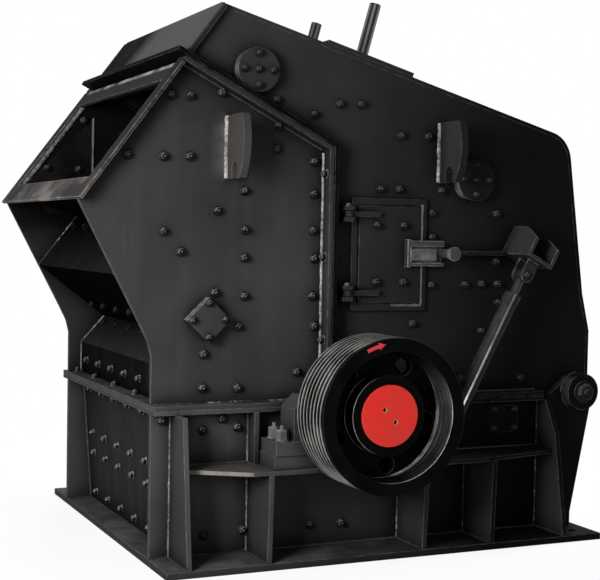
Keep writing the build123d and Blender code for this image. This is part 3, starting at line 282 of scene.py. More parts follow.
def sidePaint():
    look = hazeLook
    paint = paintLooks["frontPaint"]
    finish, shader, colour, place = paintStart("sidePaint", paint)[:4]
    x, y, z = axes(place)
    haze = (spread(look["line"] - x, look["reach"], 0.0) * (x < look["line"])
            * spread(z, *look["low"]) * spread(z, *look["high"])
            * patch(place, 9.0, 4.0, 0.25, 0.60))
    # painted light: the lug lighter, lifted out of the painted shade at the top of the plate
    lug = (abs(y) > look["lug"][0]) * (z > look["lug"][1])
    colour = tint(lug * look["lugLight"], colour, paint["dust"])
    feed(shader, Base_Color=tint(haze * look["amount"], colour, look["burnt"]))
    return finish


# stepped front wall: painted shade on the faces that look down, the faces that look up lighter towards the
# front edge of each step
recessLook = {"under": rgb(0.0014, 0.0015, 0.0017), "step": 1.30, "slope": rgb(0.0118, 0.0117, 0.0115),
              "slopeHigh": (1.66, 1.43), "sill": rgb(0.0200, 0.0197, 0.0193), "sillHigh": (1.13, 0.97)}


def shadedRecessPaint():
    look = recessLook
    finish, shader, colour, place, facing = paintStart("shadedRecessPaint", paintLooks["shadedRecessPaint"])
    faceZ = axes(facing)[2]
    z = axes(place)[2]
    smear = (faceZ > 0.4) * (0.6 + 0.4 * patch(place, 6.0, 5.0, 0.30, 0.70))
    colour = tint(smear * (z > look["step"]) * spread(z, *look["slopeHigh"]), colour, look["slope"])
    colour = tint(smear * (z < look["step"]) * spread(z, *look["sillHigh"]), colour, look["sill"])
    # painted shade on the faces that look down
    feed(shader, Base_Color=tint((faceZ < -0.4) * 0.9, colour, look["under"]))
    return finish


# aprons: bare wear steel inside the housing, paint on the pivot covers outside it, with painted light on the
# cover rims that face the lamp
apronLook = {"outside": 0.790, "bare": grey(0.004), "rim": rgb(0.13, 0.124, 0.118)}


def apronPaint():
    finish, shader, colour, place, facing = paintStart("apronPaint", paintLooks["shadedRearPaint"])
    hidden = abs(axes(place)[1]) < apronLook["outside"]
    # painted light on the cover rims that face the lamp
    rim = spread(axes(facing)[0], -0.35, -0.85) * patch(place, 14.0, 4.0, 0.32, 0.62)
    colour = tint(rim * 0.8, colour, apronLook["rim"])
    feed(shader, Base_Color=tint(hidden, colour, apronLook["bare"]))
    return finish


# mouth frame: smears of stone dust on the lip, dark bars with rubbed edges, the top edge rubbed brightest
mouthLook = {"bar": 0.774, "barFrom": 1.82, "barTo": 1.92, "smear": rgb(0.175, 0.158, 0.150),
             "rub": rgb(0.24, 0.23, 0.22), "rubReach": 0.011, "topBar": 2.30, "topEdge": (2.408, 2.418),
             "bright": rgb(0.42, 0.40, 0.38)}


def mouthPaint():
    look = mouthLook
    paint = paintLooks["mouthPaint"]
    finish, shader, colour, place = paintStart("mouthPaint", paint)[:4]
    y, z = axes(place)[1:]
    bar = (abs(y) > look["bar"]) * spread(z, look["barFrom"], look["barTo"])
    lip = spread(z, look["barTo"], look["barFrom"])
    smear = spread(noise(place, 4.2, 6.0, stretch=(1.0, 0.6, 1.0)), 0.52, 0.64) * lip
    dark = patch(place, 2.6, 5.0, 0.53, 0.42) * lip
    colour = tint(dark * 0.75, colour, paint["deep"])
    colour = tint(smear * 0.75, colour, look["smear"])
    colour = tint(bar * 0.80, colour, paint["deep"])
    topBar = (z > look["topBar"]) * (abs(y) < look["bar"])
    rub = softEdge(place, look["rubReach"])[1] * patch(place, 40.0, 4.0, 0.34, 0.60) * (1 - topBar)
    colour = tint(rub * 0.8, colour, look["rub"])
    topEdge = topBar * spread(z, *look["topEdge"]) * patch(place, 7.0, 5.0, 0.36, 0.62)
    feed(shader, Base_Color=tint(topEdge, colour, look["bright"]))
    return finish


# hood and roof shell: the sloping front lighter towards the driven side and dark towards the other, dust and
# painted sheen on the roof's upward faces
hoodLook = {"dust": rgb(0.098, 0.093, 0.091), "bare": grey(0.0045), "roof": rgb(0.032, 0.031, 0.030),
            "front": -0.55, "end": -0.8, "far": 0.36, "near": 0.12,
            "thin": (-0.25, -0.80, 0.30), "gloss": 0.002}


def hoodPaint():
    look = hoodLook
    finish, shader, colour, place, facing = paintStart("hoodPaint", paintLooks["shadedRearPaint"])
    faceX, faceZ = axes(facing)[::2]
    x, y = axes(place)[:2]
    thinFrom, thinTo, thinBy = look["thin"]
    nearSideTone = spread(y + 0.4 * noise(place, 2.6, 4.0) - 0.20, look["far"], look["near"])
    nearSideTone = nearSideTone * (1 - thinBy * spread(y, thinFrom, thinTo))
    front = (faceX < look["front"]) * (x < look["end"])
    # dust and painted sheen on the roof's upward faces
    roof = spread(faceZ, 0.55, 0.85) * (1 - front) * patch(place, 1.8, 5.0, 0.30, 0.66)
    colour = tint(roof * 0.7, colour, look["roof"])
    colour = tint(front * (1 - nearSideTone), colour, look["bare"])
    feed(shader, Base_Color=tint(front * nearSideTone, colour, look["dust"]), Specular_IOR_Level=look["gloss"])
    return finish


# door latch: the tongue rubbed bright, most at the end that slides home
tongueLook = {"low": 1.484, "high": 1.564, "from": 0.145, "to": 0.320, "home": (0.175, 0.150),
              "wearAndGlint": rgb(0.115, 0.112, 0.108), "bright": rgb(0.40, 0.39, 0.38)}


def latchPaint():
    look = tongueLook
    paint = paintLooks["latchPaint"]
    finish, shader, colour, place = paintStart("latchPaint", paint)[:4]
    x, z = axes(place)[::2]
    tongue = (z > look["low"]) * (z < look["high"])
    tongue = tongue * (x > look["from"]) * (x < look["to"])
    colour = tint(tongue * patch(place, 16.0, 4.0, 0.20, 0.6), colour, look["wearAndGlint"])
    home = tongue * spread(x, *look["home"]) * patch(place, 40.0, 3.0, 0.3, 0.6)
    colour = tint(home, colour, look["bright"])
    # edge wear and painted highlight along the latch edges
    chippedAndLit = chipsAndHighlights(place, softEdge(place, paintGrain["edge"])[1])
    feed(shader, Base_Color=tint(chippedAndLit * 0.6, colour, paint["wornAndLit"]))
    return finish


# bare edges: the diamond cover's edge that looks up to the feed, the cut on the sloping shelf corner
bareEdges = {
    "diamondPaint": {"paint": "frontPaint", "slope": (-0.707, 0.0, 0.707), "over": 0.90, "grain": 34.0,
                     "broken": (0.30, 0.62), "bare": rgb(0.15, 0.142, 0.135)},
    "shelfPaint": {"paint": "basePaint", "slope": (-0.527, -0.850, 0.0), "over": 0.99, "grain": 17.0,
                   "broken": (0.25, 0.55), "bare": rgb(0.165, 0.150, 0.132)},
}


def edgePaint(name):
    look = bareEdges[name]
    finish, shader, colour, place, facing = paintStart(name, paintLooks[look["paint"]])
    bare = dot(facing, look["slope"]) > look["over"]
    broken = patch(place, look["grain"], 4.0, *look["broken"])
    feed(shader, Base_Color=tint(bare * broken, colour, look["bare"]))
    return finish


rotorAxis = (-0.218, 0.765)  # X and Z in m

# pulley: satin black casting, turned grooves and the painted arrow on its rim, with painted highlights on its
# edges and ridges and painted light in its bore
pulleyLook = {"face": -1.397, "arrowRadius": 0.350, "arrowStart": 116.0,
              "shaft": 0.064, "head": 0.036, "halfShaft": 0.0085, "halfHead": 0.018,
              "arrow": rgb(0.50, 0.036, 0.050), "dark": rgb(0.0010, 0.0011, 0.0011),
              "light": rgb(0.0026, 0.0027, 0.0027), "wearAndGlint": rgb(0.50, 0.49, 0.48),
              "belt": rgb(0.25, 0.245, 0.235), "valley": grey(0.006), "bore": rgb(0.013, 0.0128, 0.0125),
              "boreSheen": rgb(0.056, 0.055, 0.053), "beltRadius": 0.345, "beltEnd": -1.396, "back": -1.108,
              "pitch": 0.0365, "rim": 0.312, "hub": 0.193, "reach": 0.012, "web": -1.250, "webGlint": 0.020,
              "outer": 0.366, "lowerTurn": -0.60, "upperTurn": 0.75}


def pulleyPaint():
    look = pulleyLook
    finish, shader, place, facing = newFinish("pulleyPaint")
    x, y, z = axes(place)
    faceX, faceZ = axes(facing)[::2]
    across = x - rotorAxis[0]
    above = z - rotorAxis[1]
    radius = (across * across + above * above).root()
    angle = across.sum("ARCTAN2", above, across)
    turn = abs(angle)
    lower = abs(angle - look["lowerTurn"])
    upper = abs(angle - look["upperTurn"])
    along = (math.radians(look["arrowStart"]) - angle) * look["arrowRadius"]
    side = abs(radius - look["arrowRadius"])
    shaft = (along > 0.0) * (along < look["shaft"]) * (side < look["halfShaft"])
    taper = (look["shaft"] + look["head"] - along) * (look["halfHead"] / look["head"])
    head = (along > look["shaft"]) * (side < taper)
    arrow = shaft.most(head) * (y < look["face"])
    patches = patch(place, 6.0, 4.0, 0.3, 0.7)
    rounded, edges = softEdge(place, 0.004)
    colour = tint(patches, look["dark"], look["light"])
    # belt face: ridges worn light and with painted highlights, between dark grooves
    phase = (y - look["back"]) * (2 * math.pi / look["pitch"])
    ridge = spread(phase.sum("COSINE", phase) + 0.9 * noise(place, 6.0, 4.0) - 0.45, 0.52, 1.05)
    belt = (radius > look["beltRadius"]) * (y > look["beltEnd"])
    colour = tint(belt, colour, tint(ridge, look["valley"], look["belt"]))
    # bore of the rim: painted light on its inner wall where it faces the lamp, and painted sheen low on the
    # right
    inward = (0 - faceX * across - faceZ * above) > 0.12
    bore = inward * (radius > look["rim"] - 0.01) * spread(noise(place, 7.0, 4.0) - 0.5 * turn, -0.25, 0.45)
    colour = tint(bore, colour, look["bore"])
    boreSheen = spread(noise(place, 9.0, 4.0, stretch=(0.5, 9.0, 0.5)), 0.46, 0.66)
    colour = tint(bore * boreSheen * spread(lower, 1.5, 0.9), colour, look["boreSheen"])
    # painted highlights on the edges along a part of their turn, and on the hole, web and outer edges
    broken = patch(place, 11.0, 3.0, 0.30, 0.55)
    rimArc = (abs(radius - look["rim"]) < look["reach"]) * spread(lower, 1.25, 0.65)
    hubArc = (abs(radius - look["hub"]) < look["reach"]) * spread(turn, 1.9, 2.5)
    arcs = softEdge(place, 0.007)[1] * broken * rimArc.most(hubArc)
    webArc = ((y > look["web"] - look["webGlint"]) * (y < look["web"] + 0.01) * (radius > look["rim"] - 0.006)
              * spread(lower, 0.85, 0.40) * broken)
    arcs = arcs.most(webArc)
    holes = edges * (radius > look["hub"] + look["reach"]) * (radius < look["rim"] - look["reach"]) * broken
    outer = edges * (radius > look["outer"]) * (y < look["face"] + 0.01) * spread(upper, 1.5, 0.8)
    colour = tint(arcs * 0.9 + holes * 0.16 + outer * 0.14 + edges * 0.03, colour, look["wearAndGlint"])
    colour = tint(arrow * patch(place, 60.0, 3.0, 0.30, 0.42), colour, look["arrow"])
    feed(shader, Base_Color=colour, Roughness=0.26 + 0.14 * patches, Specular_IOR_Level=0.012,
         Normal=bump(noise(place, 260.0, 2.0), 0.18, 0.001, rounded))
    return finish


# red cap on the pulley hub, bare rings in its two holes
capLook = {"paint": rgb(0.56, 0.022, 0.017), "faded": rgb(0.48, 0.030, 0.024), "rub": rgb(0.60, 0.11, 0.09),
           "hole": 0.030, "bareReach": 0.0122, "bare": rgb(0.30, 0.19, 0.12)}


def capPaint():
    finish, shader, place = newFinish("capPaint")[:3]
    rounded, edges = softEdge(place, 0.004)
    cloud = patch(place, 9.0, 4.0, 0.35, 0.7)
    colour = tint(cloud, capLook["paint"], capLook["faded"])
    scuff = spread(noise(place, 40.0, 4.0, stretch=(1.0, 1.0, 3.0)), 0.62, 0.70)
    colour = tint(scuff * 0.35, colour, capLook["rub"])
    colour = tint(edges * 0.4, colour, capLook["rub"])
    x, z = axes(place)[::2]
    right = x - rotorAxis[0]
    above = z - rotorAxis[1]
    offset = abs(right - above) * math.sqrt(0.5) - capLook["hole"] * math.sqrt(2)
    across = (right + above) * math.sqrt(0.5)
    colour = tint((offset * offset + across * across).root() < capLook["bareReach"], colour, capLook["bare"])
    feed(shader, Base_Color=colour, Roughness=0.40 + 0.1 * cloud, Specular_IOR_Level=0.08,
         Normal=bump(noise(place, 180.0, 2.0), 0.2, 0.0008, rounded))
    return finish


# bare and worn steels
steelLooks = {
    "wearSteel": {"dark": grey(0.0025), "light": rgb(0.010, 0.0098, 0.0096),
                  "rough": 0.55, "gloss": 0.02, "edge": 0.5},
    "rodSteel": {"dark": rgb(0.020, 0.0195, 0.019), "light": rgb(0.045, 0.044, 0.042), "metal": 0.3,
                 "rough": 0.30, "gloss": 0.2, "edge": 0.4},
    "boltSteel": {"dark": grey(0.0020), "light": rgb(0.33, 0.32, 0.31), "rough": 0.32,
                  "gloss": 0.03, "edge": 0.85, "cloud": 0.03},
    # the next three are copies of boltSteel, with stronger painted highlights for the front rows, and dimmer
    # ones as painted shade on the rear housing and in the recess
    "litRowBolt": {"dark": grey(0.0018), "light": rgb(0.46, 0.455, 0.45), "rough": 0.30,
                "gloss": 0.03, "edge": 0.95, "cloud": 0.02},
    "shadedRearBolt": {"dark": grey(0.0026), "light": rgb(0.20, 0.195, 0.19), "rough": 0.34,
                 "gloss": 0.03, "edge": 0.80, "cloud": 0.05},
    "shadedRecessBolt": {"dark": grey(0.0020), "light": rgb(0.055, 0.054, 0.052), "rough": 0.36,
                "gloss": 0.01, "edge": 0.80, "cloud": 0.03},
    "brightBolt": {"dark": rgb(0.020, 0.0195, 0.019), "light": rgb(0.38, 0.37, 0.36), "rough": 0.40,
                   "gloss": 0.12, "edge": 0.7},
    "sealRubber": {"dark": grey(0.003), "light": grey(0.008), "rough": 0.70, "gloss": 0.02, "edge": 0.3},
}


def plainSteel(name):
    look = steelLooks[name]
    finish, shader, place, facing = newFinish(name)
    rounded, edges = softEdge(place, 0.004)
    cloud = patch(place, 18.0, 5.0, 0.32, 0.68)
    faceX, faceZ = axes(facing)[::2]
    # painted highlight: the upper-left facets and edges of each bolt lighter
    upper = spread(0.8 * faceZ - 0.6 * faceX, 0.15, 0.90)
    wearAndGlint = upper * (0.30 + 0.70 * edges) * look["edge"]
    colour = tint(cloud * look.get("cloud", 0.10) + wearAndGlint, look["dark"], look["light"])
    feed(shader, Base_Color=colour, Roughness=look["rough"] + 0.14 * cloud, Metallic=look.get("metal", 0.0),
         Specular_IOR_Level=look["gloss"], Normal=bump(noise(place, 150.0, 3.0), 0.25, 0.0008, rounded))
    return finish


# liner plates in the mouth: black, with a painted highlight line at the rear end
linerLook = {"dark": grey(0.0022), "light": grey(0.006), "end": (-1.112, -1.104),
             "wearAndGlint": rgb(0.16, 0.156, 0.150)}


def linerSteel():
    look = linerLook
    finish, shader, place = newFinish("linerSteel")[:3]
    rounded = softEdge(place, 0.003)[0]
    cloud = patch(place, 10.0, 5.0, 0.35, 0.65)
    end = spread(axes(place)[0], *look["end"]) * patch(place, 16.0, 4.0, 0.25, 0.5)
    colour = tint(end, tint(cloud, look["dark"], look["light"]), look["wearAndGlint"])
    feed(shader, Base_Color=colour, Roughness=0.5 + 0.2 * cloud, Specular_IOR_Level=0.02,
         Normal=bump(noise(place, 120.0, 3.0), 0.3, 0.001, rounded))
    return finish


# opening cylinder barrel: one long painted highlight line, metallic and brightest low down, and dirt with
# painted light on the side towards the lamp
barrelLook = {"foot": (0.321, 0.945, 0.560), "way": (0.4668, 0.8843), "line": (-0.290, 0.957),
              "lineWidth": (0.986, 0.997), "bright": (1.30, 0.72), "dirtAndLitSide": (0.012, -0.030),
              "dark": grey(0.0035), "light": rgb(0.038, 0.0345, 0.0330), "wearAndGlint": rgb(0.95, 0.94, 0.93)}


def glintBarrel():
    look = barrelLook
    finish, shader, place = newFinish("glintBarrel")[:3]
    x, y, z = axes(place)
    right = (x - look["foot"][0]) * look["way"][1] - (z - look["foot"][2]) * look["way"][0]
    out = abs(y) - look["foot"][1]
    toward = right * look["line"][0] + out * look["line"][1]
    toward = toward.sum("DIVIDE", toward, (right * right + out * out).root())
    rounded, edges = softEdge(place, 0.003)
    cloud = patch(place, 14.0, 4.0, 0.3, 0.7)
    # painted highlight: a thin metallic line along the barrel, brightest low down
    line = spread(toward, *look["lineWidth"]) * patch(place, 5.0, 4.0, 0.20, 0.50)
    bright = spread(z, *look["bright"])
    # dirt and painted light, lighter on the side towards the lamp
    dirtAndLitSide = spread(right, *look["dirtAndLitSide"]) * (0.35 + 0.65 * cloud)
    colour = tint(dirtAndLitSide + edges * 0.4, look["dark"], look["light"])
    bare = line * (0.08 + 0.92 * bright * bright)
    feed(shader, Base_Color=tint(bare, colour, look["wearAndGlint"]), Roughness=0.20 + 0.12 * cloud, Metallic=bare,
         Specular_IOR_Level=0.08, Normal=bump(noise(place, 160.0, 2.0), 0.2, 0.0008, rounded))
    return finish


# adjusting rods through the roof, fluted along their length, the flute crests lighter as painted highlights
rodLook = {"place": (0.048, 0.380, 2.480), "lean": (0.2664, 0.9639), "flutes": 7.0, "footHigh": (0.105, 0.075),
           "dark": grey(0.010), "light": rgb(0.15, 0.145, 0.14), "foot": rgb(0.34, 0.32, 0.30)}


def flutedSteel():
    look = rodLook
    finish, shader, place = newFinish("flutedSteel")[:3]
    x, y, z = axes(place)
    right = x - look["place"][0]
    above = z - look["place"][2]
    out = right * look["lean"][1] - above * look["lean"][0]
    along = right * look["lean"][0] + above * look["lean"][1]
    turn = out.sum("ARCTAN2", abs(y) - look["place"][1], out) * look["flutes"]
    wave = turn.sum("SINE", turn)
    # painted highlights on the flute crests
    crestGlint = spread(wave + 0.5 * noise(place, 30.0, 4.0), -0.1, 1.1)
    foot = spread(along + 0.03 * noise(place, 25.0, 3.0), *look["footHigh"])
    colour = tint(crestGlint, look["dark"], look["light"])
    colour = tint(foot * patch(place, 45.0, 4.0, 0.3, 0.6), colour, look["foot"])
    feed(shader, Base_Color=colour, Roughness=0.42 - 0.1 * crestGlint, Metallic=0.2, Specular_IOR_Level=0.2,
         Normal=bump(wave, 0.4, 0.003, flatNormal(place)))
    return finish


# weld metal, half hidden under the paint
weldLooks = {
    "brightWeld": {"paint": rgb(0.060, 0.057, 0.055), "metal": rgb(0.36, 0.34, 0.32), "bare": (0.42, 0.62)},
    "seamWeld": {"paint": rgb(0.040, 0.038, 0.036), "metal": rgb(0.20, 0.185, 0.17), "bare": (0.42, 0.62)},
    "smoothWeld": {"paint": rgb(0.050, 0.049, 0.048), "metal": rgb(0.12, 0.117, 0.114), "bare": (0.36, 0.66)},
    "patchyWeld": {"paint": grey(0.016), "metal": rgb(0.24, 0.23, 0.22), "bare": (0.52, 0.64)},
    "dullWeld": {"paint": grey(0.020), "metal": rgb(0.045, 0.044, 0.043), "bare": (0.46, 0.66)},
}


def weldMetal(name):
    look = weldLooks[name]
    finish, shader, place = newFinish(name)[:3]
    lumps = noise(place, 46.0, 4.0)
    bare = spread(0.55 * lumps + 0.45 * noise(place, 5.0, 3.0), *look["bare"])
    feed(shader, Base_Color=tint(bare, look["paint"], look["metal"]), Roughness=0.42 + 0.15 * lumps,
         Specular_IOR_Level=0.15, Normal=bump(noise(place, 120.0, 3.0), 0.6, 0.003, flatNormal(place)))
    return finish


special = (sidePaint, shadedRecessPaint, apronPaint, mouthPaint, hoodPaint, latchPaint, pulleyPaint, capPaint,
           linerSteel, glintBarrel, flutedSteel)
finishes = {make.__name__: make() for make in special}
finishes.update({name: paintStart(name, look)[0] for name, look in paintLooks.items() if name not in finishes})
finishes.update({name: edgePaint(name) for name in bareEdges})
finishes.update({name: plainSteel(name) for name in steelLooks})
finishes.update({name: weldMetal(name) for name in weldLooks})


def pair(name):  # the near one and the far one
    return [name + "_near", name + "_far"]


# which finish each solid of the machine wears
finishOf = {
    "frontPaint": ["front_flange"],
    "sidePaint": pair("front_side"),
    "diamondPaint": pair("diamond_cover"),
    "shadedRecessPaint": ["front_wall"],
    "shadedWallPaint": ["base_front_wall"],
    "basePaint": ["base_plate", "base_rear_wall", "base_flange_front", "base_flange_rear",
                  *pair("base_side"), *pair("hinge_carrier"), *pair("cylinder_foot")],
    "shelfPaint": pair("rib_shelf"),
    "shadedRearPaint": ["roof_plate", "door_frame_near", "door_far", "door_panel", *pair("rear_side")],
    "shadowBarPaint": ["rear_flange"],
    "hoodPaint": ["rear_shell"],
    "apronPaint": ["front_apron", "rear_apron"],
    "fittingPaint": pair("cylinder_bracket"),
    "latchPaint": ["door_latch"],
    "glintBarrel": pair("cylinder_barrel"),
    "mouthPaint": ["feed_frame"],
    "castPaint": pair("bearing"),
    "wearSteel": ["rotor_body", "rotor_shaft"],
    "rodSteel": pair("cylinder_rod"),
    "flutedSteel": pair("apron_rod"),
    "pulleyPaint": ["pulley"],
    "capPaint": ["pulley_cap"],
}
for finishName, members in finishOf.items():
    for member in members:
        for slot in nodes[member].material_slots:
            slot.material = finishes[finishName]
print("finishes on", sum(len(members) for members in finishOf.values()), "solids")


# modelling helpers
def mode(kind):
    bpy.ops.object.mode_set(mode=kind)


def extrude(x, y, z):
    bpy.ops.mesh.extrude_region_move(TRANSFORM_OT_translate={"value": (x, y, z)})


def clearPick():
    if bpy.context.object and bpy.context.object.mode != "OBJECT":
        mode("OBJECT")
    bpy.ops.object.select_all(action="DESELECT")


def pick(piece, kind, test):  # leaves the piece in edit mode with some faces or edges picked
    mode("EDIT")
    bpy.ops.mesh.select_mode(type=kind)
    bpy.ops.mesh.select_all(action="DESELECT")
    mode("OBJECT")
    for part in (piece.data.polygons if kind == "FACE" else piece.data.edges):
        part.select = test(part)
    mode("EDIT")


def joined(parts, name):
    clearPick()
    for part in parts:
        part.select_set(True)
    bpy.context.view_layer.objects.active = parts[0]
    if len(parts) > 1:
        bpy.ops.object.join()
    piece = bpy.context.object
    piece.name = name
    piece.data.name = name
    bpy.ops.object.transform_apply(location=True, rotation=True, scale=True)
    return piece


def seat(piece, body, finish, angle=35.0):  # finish, slot and body of a done piece
    clearPick()
    piece.select_set(True)
    bpy.context.view_layer.objects.active = piece
    bpy.ops.object.shade_smooth_by_angle(angle=math.radians(angle))
    piece.data.materials.clear()
    piece.data.materials.append(finishes[finish])
    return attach(piece, body)


def metres(*lengths):
    return Vector([length / 1000 for length in lengths])


def pointing(place, way):
    return Matrix.Translation(place) @ way.to_track_quat("Z", "Y").to_matrix().to_4x4()


def slab(x, y, z):  # a block between two lengths in mm along each axis
    clearPick()
    bpy.ops.mesh.primitive_cube_add(size=1.0, location=metres(sum(x) / 2, sum(y) / 2, sum(z) / 2),
                                    scale=metres(*[abs(high - low) for low, high in (x, y, z)]))
    bpy.ops.object.transform_apply(location=True, rotation=True, scale=True)
    return bpy.context.object


def copies(master, spots, name):  # spots are (place, way it points, turn in degrees)
    made = []
    for place, way, turn in spots:
        copy = master.copy()
        copy.data = master.data.copy()
        bpy.context.collection.objects.link(copy)
        copy.matrix_world = pointing(place, way) @ Matrix.Rotation(math.radians(turn), 4, "Z")
        made.append(copy)
    return joined(made, name)


# bolts, studs and pin heads stand on z = 0, with the radii and heights of their parts in m
boltParts = ("washer", "washerHigh", "nut", "nutHigh", "chamfer", "stub", "stubHigh")
boltSizes = {
    "liner": (0.0245, 0.004, 0.0195, 0.018, 0.0035, 0.0080, 0.008),
    "stud": (0.036, 0.008, 0.031, 0.044, 0.005, 0.010, 0.020),
    "hingeCap": (0.062, 0.010, 0.048, 0.022, 0.006, 0.016, 0.008),
    "earPin": (0.025, 0.004, 0.020, 0.010, 0.004, 0.007, 0.003),
    "doorPin": (0.017, 0.004, 0.013, 0.007, 0.003, 0.005, 0.002),
}
boltTaper = {"nut": 0.84, "stub": 0.72}
smallScale = 0.85  # of the small bolts to the liner bolts


def modelBolt(kind, scale=1.0):
    size = {part: length * scale for part, length in zip(boltParts, boltSizes[kind])}
    clearPick()
    bpy.ops.mesh.primitive_cylinder_add(vertices=12, radius=size["washer"], depth=size["washerHigh"],
                                        location=(0, 0, size["washerHigh"] / 2))
    washer = bpy.context.object
    clearPick()
    bpy.ops.mesh.primitive_cylinder_add(vertices=6, radius=size["nut"], depth=size["nutHigh"],
                                        location=(0, 0, size["washerHigh"] + size["nutHigh"] / 2))
    nut = bpy.context.object
    pick(nut, "FACE", lambda face: face.normal.z > 0.9)
    extrude(0, 0, size["chamfer"])
    bpy.ops.transform.resize(value=(boltTaper["nut"], boltTaper["nut"], 1.0))
    bpy.ops.mesh.inset(thickness=size["stub"])
    extrude(0, 0, size["stubHigh"])
    bpy.ops.transform.resize(value=(boltTaper["stub"], boltTaper["stub"], 1.0))
    mode("OBJECT")
    return joined([washer, nut], kind)


masters = {kind: modelBolt(kind) for kind in boltSizes}
masters["small"] = modelBolt("liner", smallScale)

# bolt places on the side plates in mm along X and Z, the same on both sides
sideBolts = {
    "front": [(-1145, 2275), (-1050, 2275), (-885, 2300), (-1360, 1980), (-1180, 1980), (-1048, 1985),
              (-585, 2153), (-588, 2040), (-386, 1984), (-384, 1821), (-760, 1827), (-902, 1726),
              (-1176, 1621), (-1087, 1524), (-754, 1634), (-756, 1498), (-753, 1308), (-386, 1638),
              (-378, 1497), (-385, 1308), (-372, 1154), (-909, 1327), (-783, 1157), (-964, 1025),
              (-967, 858), (-783, 854), (-464, 925)],
    "rear": [(-594, 2283), (-387, 2221), (-244, 2282), (-124, 2285), (111, 2138), (274, 2141), (-4, 1858),
             (108, 1861), (360, 1860), (303, 1741), (702, 1746), (306, 1614), (705, 1490), (307, 1363),
             (514, 1365), (618, 1369), (719, 1370), (722, 1268), (199, 1161), (625, 1115), (506, 862),
             (878, 856)],
    "base": [(-1172, 709), (-963, 651), (-860, 704), (-780, 659), (-951, 130), (-745, 143), (-376, 144),
             (-199, 139)],
}


# how far from the middle of the machine each plate's face lies, in mm
plateFace = {"front": 800, "rear": 794, "round": 849, "diamond": 860, "square": 822, "door": 822, "hinge": 905}


def sideSpots(places, plate):
    spots = []
    for count, (x, z) in enumerate(places):
        for side in (-1, 1):
            spots.append((metres(x, side * plateFace[plate], z), Vector((0, side, 0)), 37 * count + 11 * side))
    return spots


# rows across the front walls: X, Z and the way that the plate faces
leaning = (-0.997, -0.075)
frontRows = [(-1133, 700, leaning), (-1113, 440, leaning), (-1104, 322, leaning), (-1087, 90, leaning),
             (-1154, 866, (-1.0, 0.0)), (-1052, 1075, (-0.741, 0.671)),
             (-1130, 1197, (-0.61, -0.79)), (-1240, 1636, (-0.788, 0.616))]
rowAcross = [-630, -378, -126, 126, 378, 630]


def rowSpots(rows):
    return [(metres(x, y, z), Vector((wayX, 0, wayZ)), 23 * count + 41 * row)
            for row, (x, z, (wayX, wayZ)) in enumerate(rows) for count, y in enumerate(rowAcross)]


# bolts through the upright flange, heads on the front housing and nuts on the rear one
flangeBolts = {"high": [1089, 1508, 1925], "across": 842, "frontFace": -334.5, "rearFace": -285.5}


def flangeSpots(face, way):
    return [(metres(flangeBolts[face], side * flangeBolts["across"], z), Vector((way, 0, 0)), z)
            for z in flangeBolts["high"] for side in (-1, 1)]


# bolts on the cover plates
coverRing = [(0, 0), (-78, 0), (78, 0), (0, 78), (0, -78)]
roundCovers = [(x + dx, z + dz) for x, z in ((-713, 2421), (539, 1920)) for dx, dz in coverRing]
diamondBolts = [(-957 + dx, 1196 + dz) for dx, dz in ((-84, 0), (84, 0), (0, 84), (0, -84))]
squareBolts = [(x, z) for x in (702, 830) for z in (588, 690)]
doorBolts = [(x, z) for x in (-35, 123) for z in (1380, 1672)]
footTop = {"x": -1178, "z": 785, "across": (-764, -380, 3, 388, 768)}

# studs on the bearing feet, hinge pins, pins in the cylinder ears and in the door hinges
bearingStuds = {"x": (-640, 204), "across": (940, 1040), "z": 619}
hingePin = (1222, 780)  # X and Z
earPins = {"x": 776, "z": 1422, "ends": ((994, 1), (896, -1))}
doorPins = {"x": -212, "across": 850, "high": (1363, 1766)}

up = Vector((0, 0, 1))
footSpots = [(metres(footTop["x"], y, footTop["z"]), up, y) for y in footTop["across"]]
doorSpots = sideSpots(doorBolts, "door")
studPlaces = [(x, y) for x in bearingStuds["x"] for y in bearingStuds["across"]]
studSpots = [(metres(x, side * y, bearingStuds["z"]), up, 19 * count)
             for count, (x, y) in enumerate(studPlaces) for side in (-1, 1)]
earSpots = [(metres(earPins["x"], side * y, earPins["z"]), Vector((0, side * way, 0)), 13 * y)
            for y, way in earPins["ends"] for side in (-1, 1)]
pinSpots = [(metres(doorPins["x"], side * doorPins["across"], z), up, 17 * z)
            for z in doorPins["high"] for side in (-1, 1)]
boltPieces = {
    "frontHousingBolts": ("base", "boltSteel", "liner",
                          sideSpots(sideBolts["front"], "front") + flangeSpots("frontFace", -1)),
    "baseBolts": ("base", "boltSteel", "liner", sideSpots(sideBolts["base"], "front")),
    "frontRowBolts": ("base", "litRowBolt", "small", rowSpots(frontRows[:4])),
    "frontFootBolts": ("base", "boltSteel", "small", rowSpots(frontRows[4:5]) + footSpots),
    "recessBolts": ("base", "shadedRecessBolt", "small", rowSpots(frontRows[5:])),
    "rearHousingBolts": ("rear_housing", "shadedRearBolt", "liner",
                         sideSpots(sideBolts["rear"], "rear") + flangeSpots("rearFace", 1)),
    "roundCoverBolts": ("rear_housing", "shadedRearBolt", "small", sideSpots(roundCovers, "round")),
    "coverPlateBolts": ("base", "boltSteel", "small",
                        sideSpots(diamondBolts, "diamond") + sideSpots(squareBolts, "square")),
    "farDoorBolts": ("rear_housing", "shadedRearBolt", "liner", [spot for spot in doorSpots if spot[1].y > 0]),
    "nearDoorBolts": ("access_door", "shadedRearBolt", "liner", [spot for spot in doorSpots if spot[1].y < 0]),
    "bearingStuds": ("base", "brightBolt", "stud", studSpots),
    "hingePinCaps": ("base", "shadedRearBolt", "hingeCap", sideSpots([hingePin], "hinge")),
    "cylinderEarPins": ("rear_housing", "shadedRearBolt", "earPin", earSpots),
    "doorPinHeads": ("rear_housing", "brightBolt", "doorPin", pinSpots),
}
